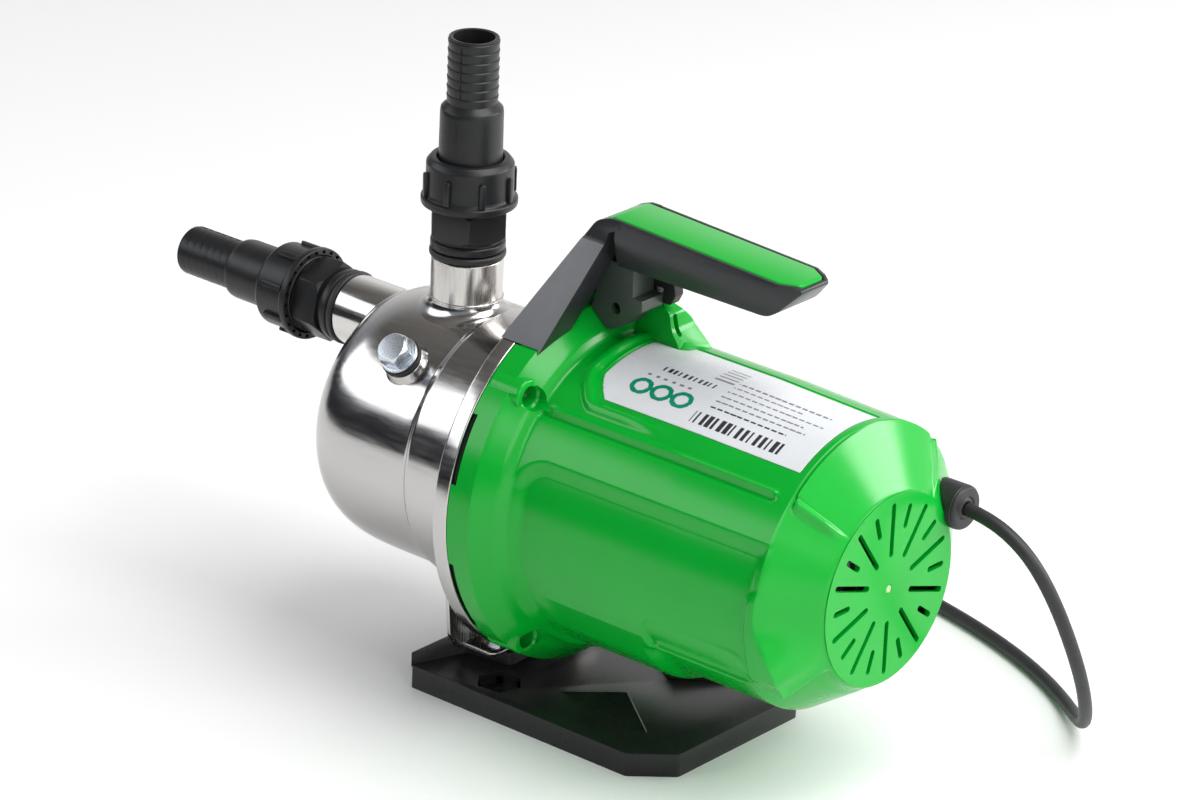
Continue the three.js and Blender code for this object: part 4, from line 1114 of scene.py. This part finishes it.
# ---- gland
def make_gland():
    """The cord's relief: a stepped boot outside the tail and a neck through the shroud's wall."""
    place = (0, GLAND_Y, GLAND_Z)
    boot = [(3.75, 144), (7.8, 144, 0.4), (7.8, 156), (11.3, 156), (11.4, 169.4, 0.5), (10.9, 170, 0.3),
            (11.2, 170.5, 0.3), (10.2, 171.9, 0.8), (6.2, 171.9), (5.6, 171.3), (4.6, 171.9, 0.4),
            (3.75, 171.9)]
    boot = turned("cable_gland_relief", rounded(boot, True, 20), "x", 96, place)
    tail_room = [(0, 90), (80.3, 90), (80.3, 145.4), (50.9, 165.6), (49.5, 166.8), (0, 166.8)]
    boot = boolean(boot, [turned("room", tail_room, "x", 128, AXIS)])
    neck = ring("neck", [(3.75, 144), (7.8, 144, 0.4), (7.8, 167), (3.75, 167)], "x", 64, place)
    relief = join("cable_gland_relief", [boot, neck])
    finish_piece(relief, RUBBER, ["cable_gland"])


# ---- CAD nodes that keep their shape
INNER_LOOKS = {
    "jet_nozzle": NYLON, "venturi_tube": NYLON, "diffuser": NYLON, "impeller": BRASS, "impeller_nut": ZINC,
    "seal_spring": ZINC, "seal_rotating_face": RUBBER, "seal_seat": CERAMIC, "casing_seal_ring": RUBBER,
    "motor_shaft": SHAFT, "rotor_core": LAMINATED, "stator_core": LAMINATED, "winding_front": COPPER,
    "winding_rear": COPPER, "bearing_front": SHAFT, "bearing_rear": SHAFT, "rear_end_shield": CASTING,
    "cooling_fan": FITTING, "capacitor": NYLON,
}


def finish_inner_nodes():
    for name, material in INNER_LOOKS.items():
        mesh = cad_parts[name].data
        mesh.materials.clear()
        mesh.materials.append(material)


# ---- studio, in metres
TARGET = Vector((0, 0, 0.12))
SOFTBOXES = [
    ("key", (-0.68, -0.6, 0.47), 2.2, (2.4, 0.9), 2.3, (0.97, 0.985, 1.0)),
    ("top", (0.5, 0.15, 0.95), 2.3, (1.8, 1.8), 5.2, (1.0, 1.0, 1.0)),
    ("right", (0.95, -0.45, 0.42), 2.4, (1.3, 1.0), 2.6, (1.0, 1.0, 1.0)),
    ("rear", (0.62, 0.71, 0.33), 2.4, (1.3, 0.7), 9.0, (1.0, 1.0, 1.0)),
]
FLAG = {"distance": 0.95, "half_width": 0.9, "height": 0.31, "degrees": 233}
# sine of the elevation, then the colour seen there
FRONT_SKY = [(-1, (0.9, 0.9, 0.9)), (-0.02, (0.7, 0.7, 0.7)), (0.02, (0.03, 0.033, 0.04)),
             (0.2, (0.04, 0.045, 0.055)), (0.3, (0.3, 0.32, 0.35)), (0.56, (0.3, 0.31, 0.33)),
             (0.68, (0.09, 0.085, 0.08)), (1, (0.3, 0.29, 0.28))]
BACK_SKY = [(-1, (0.9, 0.9, 0.9)), (0.3, (0.95, 0.95, 0.95)), (0.62, (0.55, 0.54, 0.53)),
            (0.85, (0.16, 0.14, 0.12)), (1, (0.35, 0.34, 0.33))]
BACK_DIRECTION = (0.35, 0.94, 0)


def make_stage():
    reach = 4000
    floor = block("floor", -reach, reach, -reach, reach, -20, 0)
    floor.data.materials.append(FLOOR_WHITE)


def make_flag():
    """A black board on the floor in front and to the left, seen only in reflections."""
    reach, half = FLAG["distance"] / MM, FLAG["half_width"] / MM
    board = block("flag", reach, reach + 10, -half, half, 1, FLAG["height"] / MM)
    transform(board, spin("Z", FLAG["degrees"]))
    board.data.materials.append(FLAG_CLOTH)
    board.visible_camera = False
    board.visible_diffuse = False
    board.visible_shadow = False


def make_softbox(name, direction, distance, size, radiance, color):
    data = bpy.data.lights.new(name, "AREA")
    data.shape = "RECTANGLE"
    data.size, data.size_y = size
    data.energy = radiance * math.pi * size[0] * size[1]
    data.color = color
    light = add_object(name, data)
    light.location = TARGET + Vector(direction).normalized() * distance
    light.visible_camera = False
    light.rotation_euler = (TARGET - light.location).to_track_quat("-Z", "Y").to_euler()


def elevation_ramp(nodes, links, height_socket, stops):
    height = add_node(nodes, "MapRange", From_Min=-1)
    links.new(height_socket, height.inputs["Value"])
    tone = add_node(nodes, "ValToRGB")
    marks = tone.color_ramp.elements
    for mark, (level, color) in zip(marks, (stops[0], stops[-1])):
        mark.position, mark.color = (level + 1) / 2, color + (1,)
    for level, color in stops[1:-1]:
        marks.new((level + 1) / 2).color = color + (1,)
    links.new(height.outputs["Result"], tone.inputs["Fac"])
    return tone


def make_world():
    """A dim room with a white backdrop and a dark horizon in front."""
    world = bpy.data.worlds.new("studio")
    bpy.context.scene.world = world
    world.use_nodes = True
    nodes, links = world.node_tree.nodes, world.node_tree.links
    place = add_node(nodes, "TexCoord")
    split = add_node(nodes, "SeparateXYZ")
    links.new(place.outputs["Generated"], split.inputs["Vector"])
    front = elevation_ramp(nodes, links, split.outputs["Z"], FRONT_SKY)
    back = elevation_ramp(nodes, links, split.outputs["Z"], BACK_SKY)
    facing = add_node(nodes, "VectorMath")
    facing.operation = "DOT_PRODUCT"
    facing.inputs[1].default_value = BACK_DIRECTION
    links.new(place.outputs["Generated"], facing.inputs[0])
    blend = add_node(nodes, "MapRange", From_Min=-0.25, From_Max=0.45)
    links.new(facing.outputs["Value"], blend.inputs["Value"])
    sky = add_node(nodes, "Mix")
    sky.data_type = "RGBA"
    links.new(blend.outputs["Result"], sky.inputs["Factor"])
    links.new(front.outputs["Color"], sky.inputs[6])
    links.new(back.outputs["Color"], sky.inputs[7])
    links.new(sky.outputs[2], nodes["Background"].inputs["Color"])
    nodes["Background"].inputs["Strength"].default_value = 1.0


make_base()
make_foot()
make_casing()
make_priming_plug()
make_union("discharge", shift(DISCHARGE_X, 0, DISCHARGE_END), -78)
make_union("suction", shift(SUCTION_END, 0, SUCTION_Z) @ spin("Y", -90), 20)
make_bracket()
make_shroud()
make_label()
make_handle()
make_handle_bracket()
make_gland()
finish_inner_nodes()
make_stage()
make_flag()
make_world()
for softbox in SOFTBOXES:
    make_softbox(*softbox)
bpy.context.scene.view_settings.view_transform = "Standard"
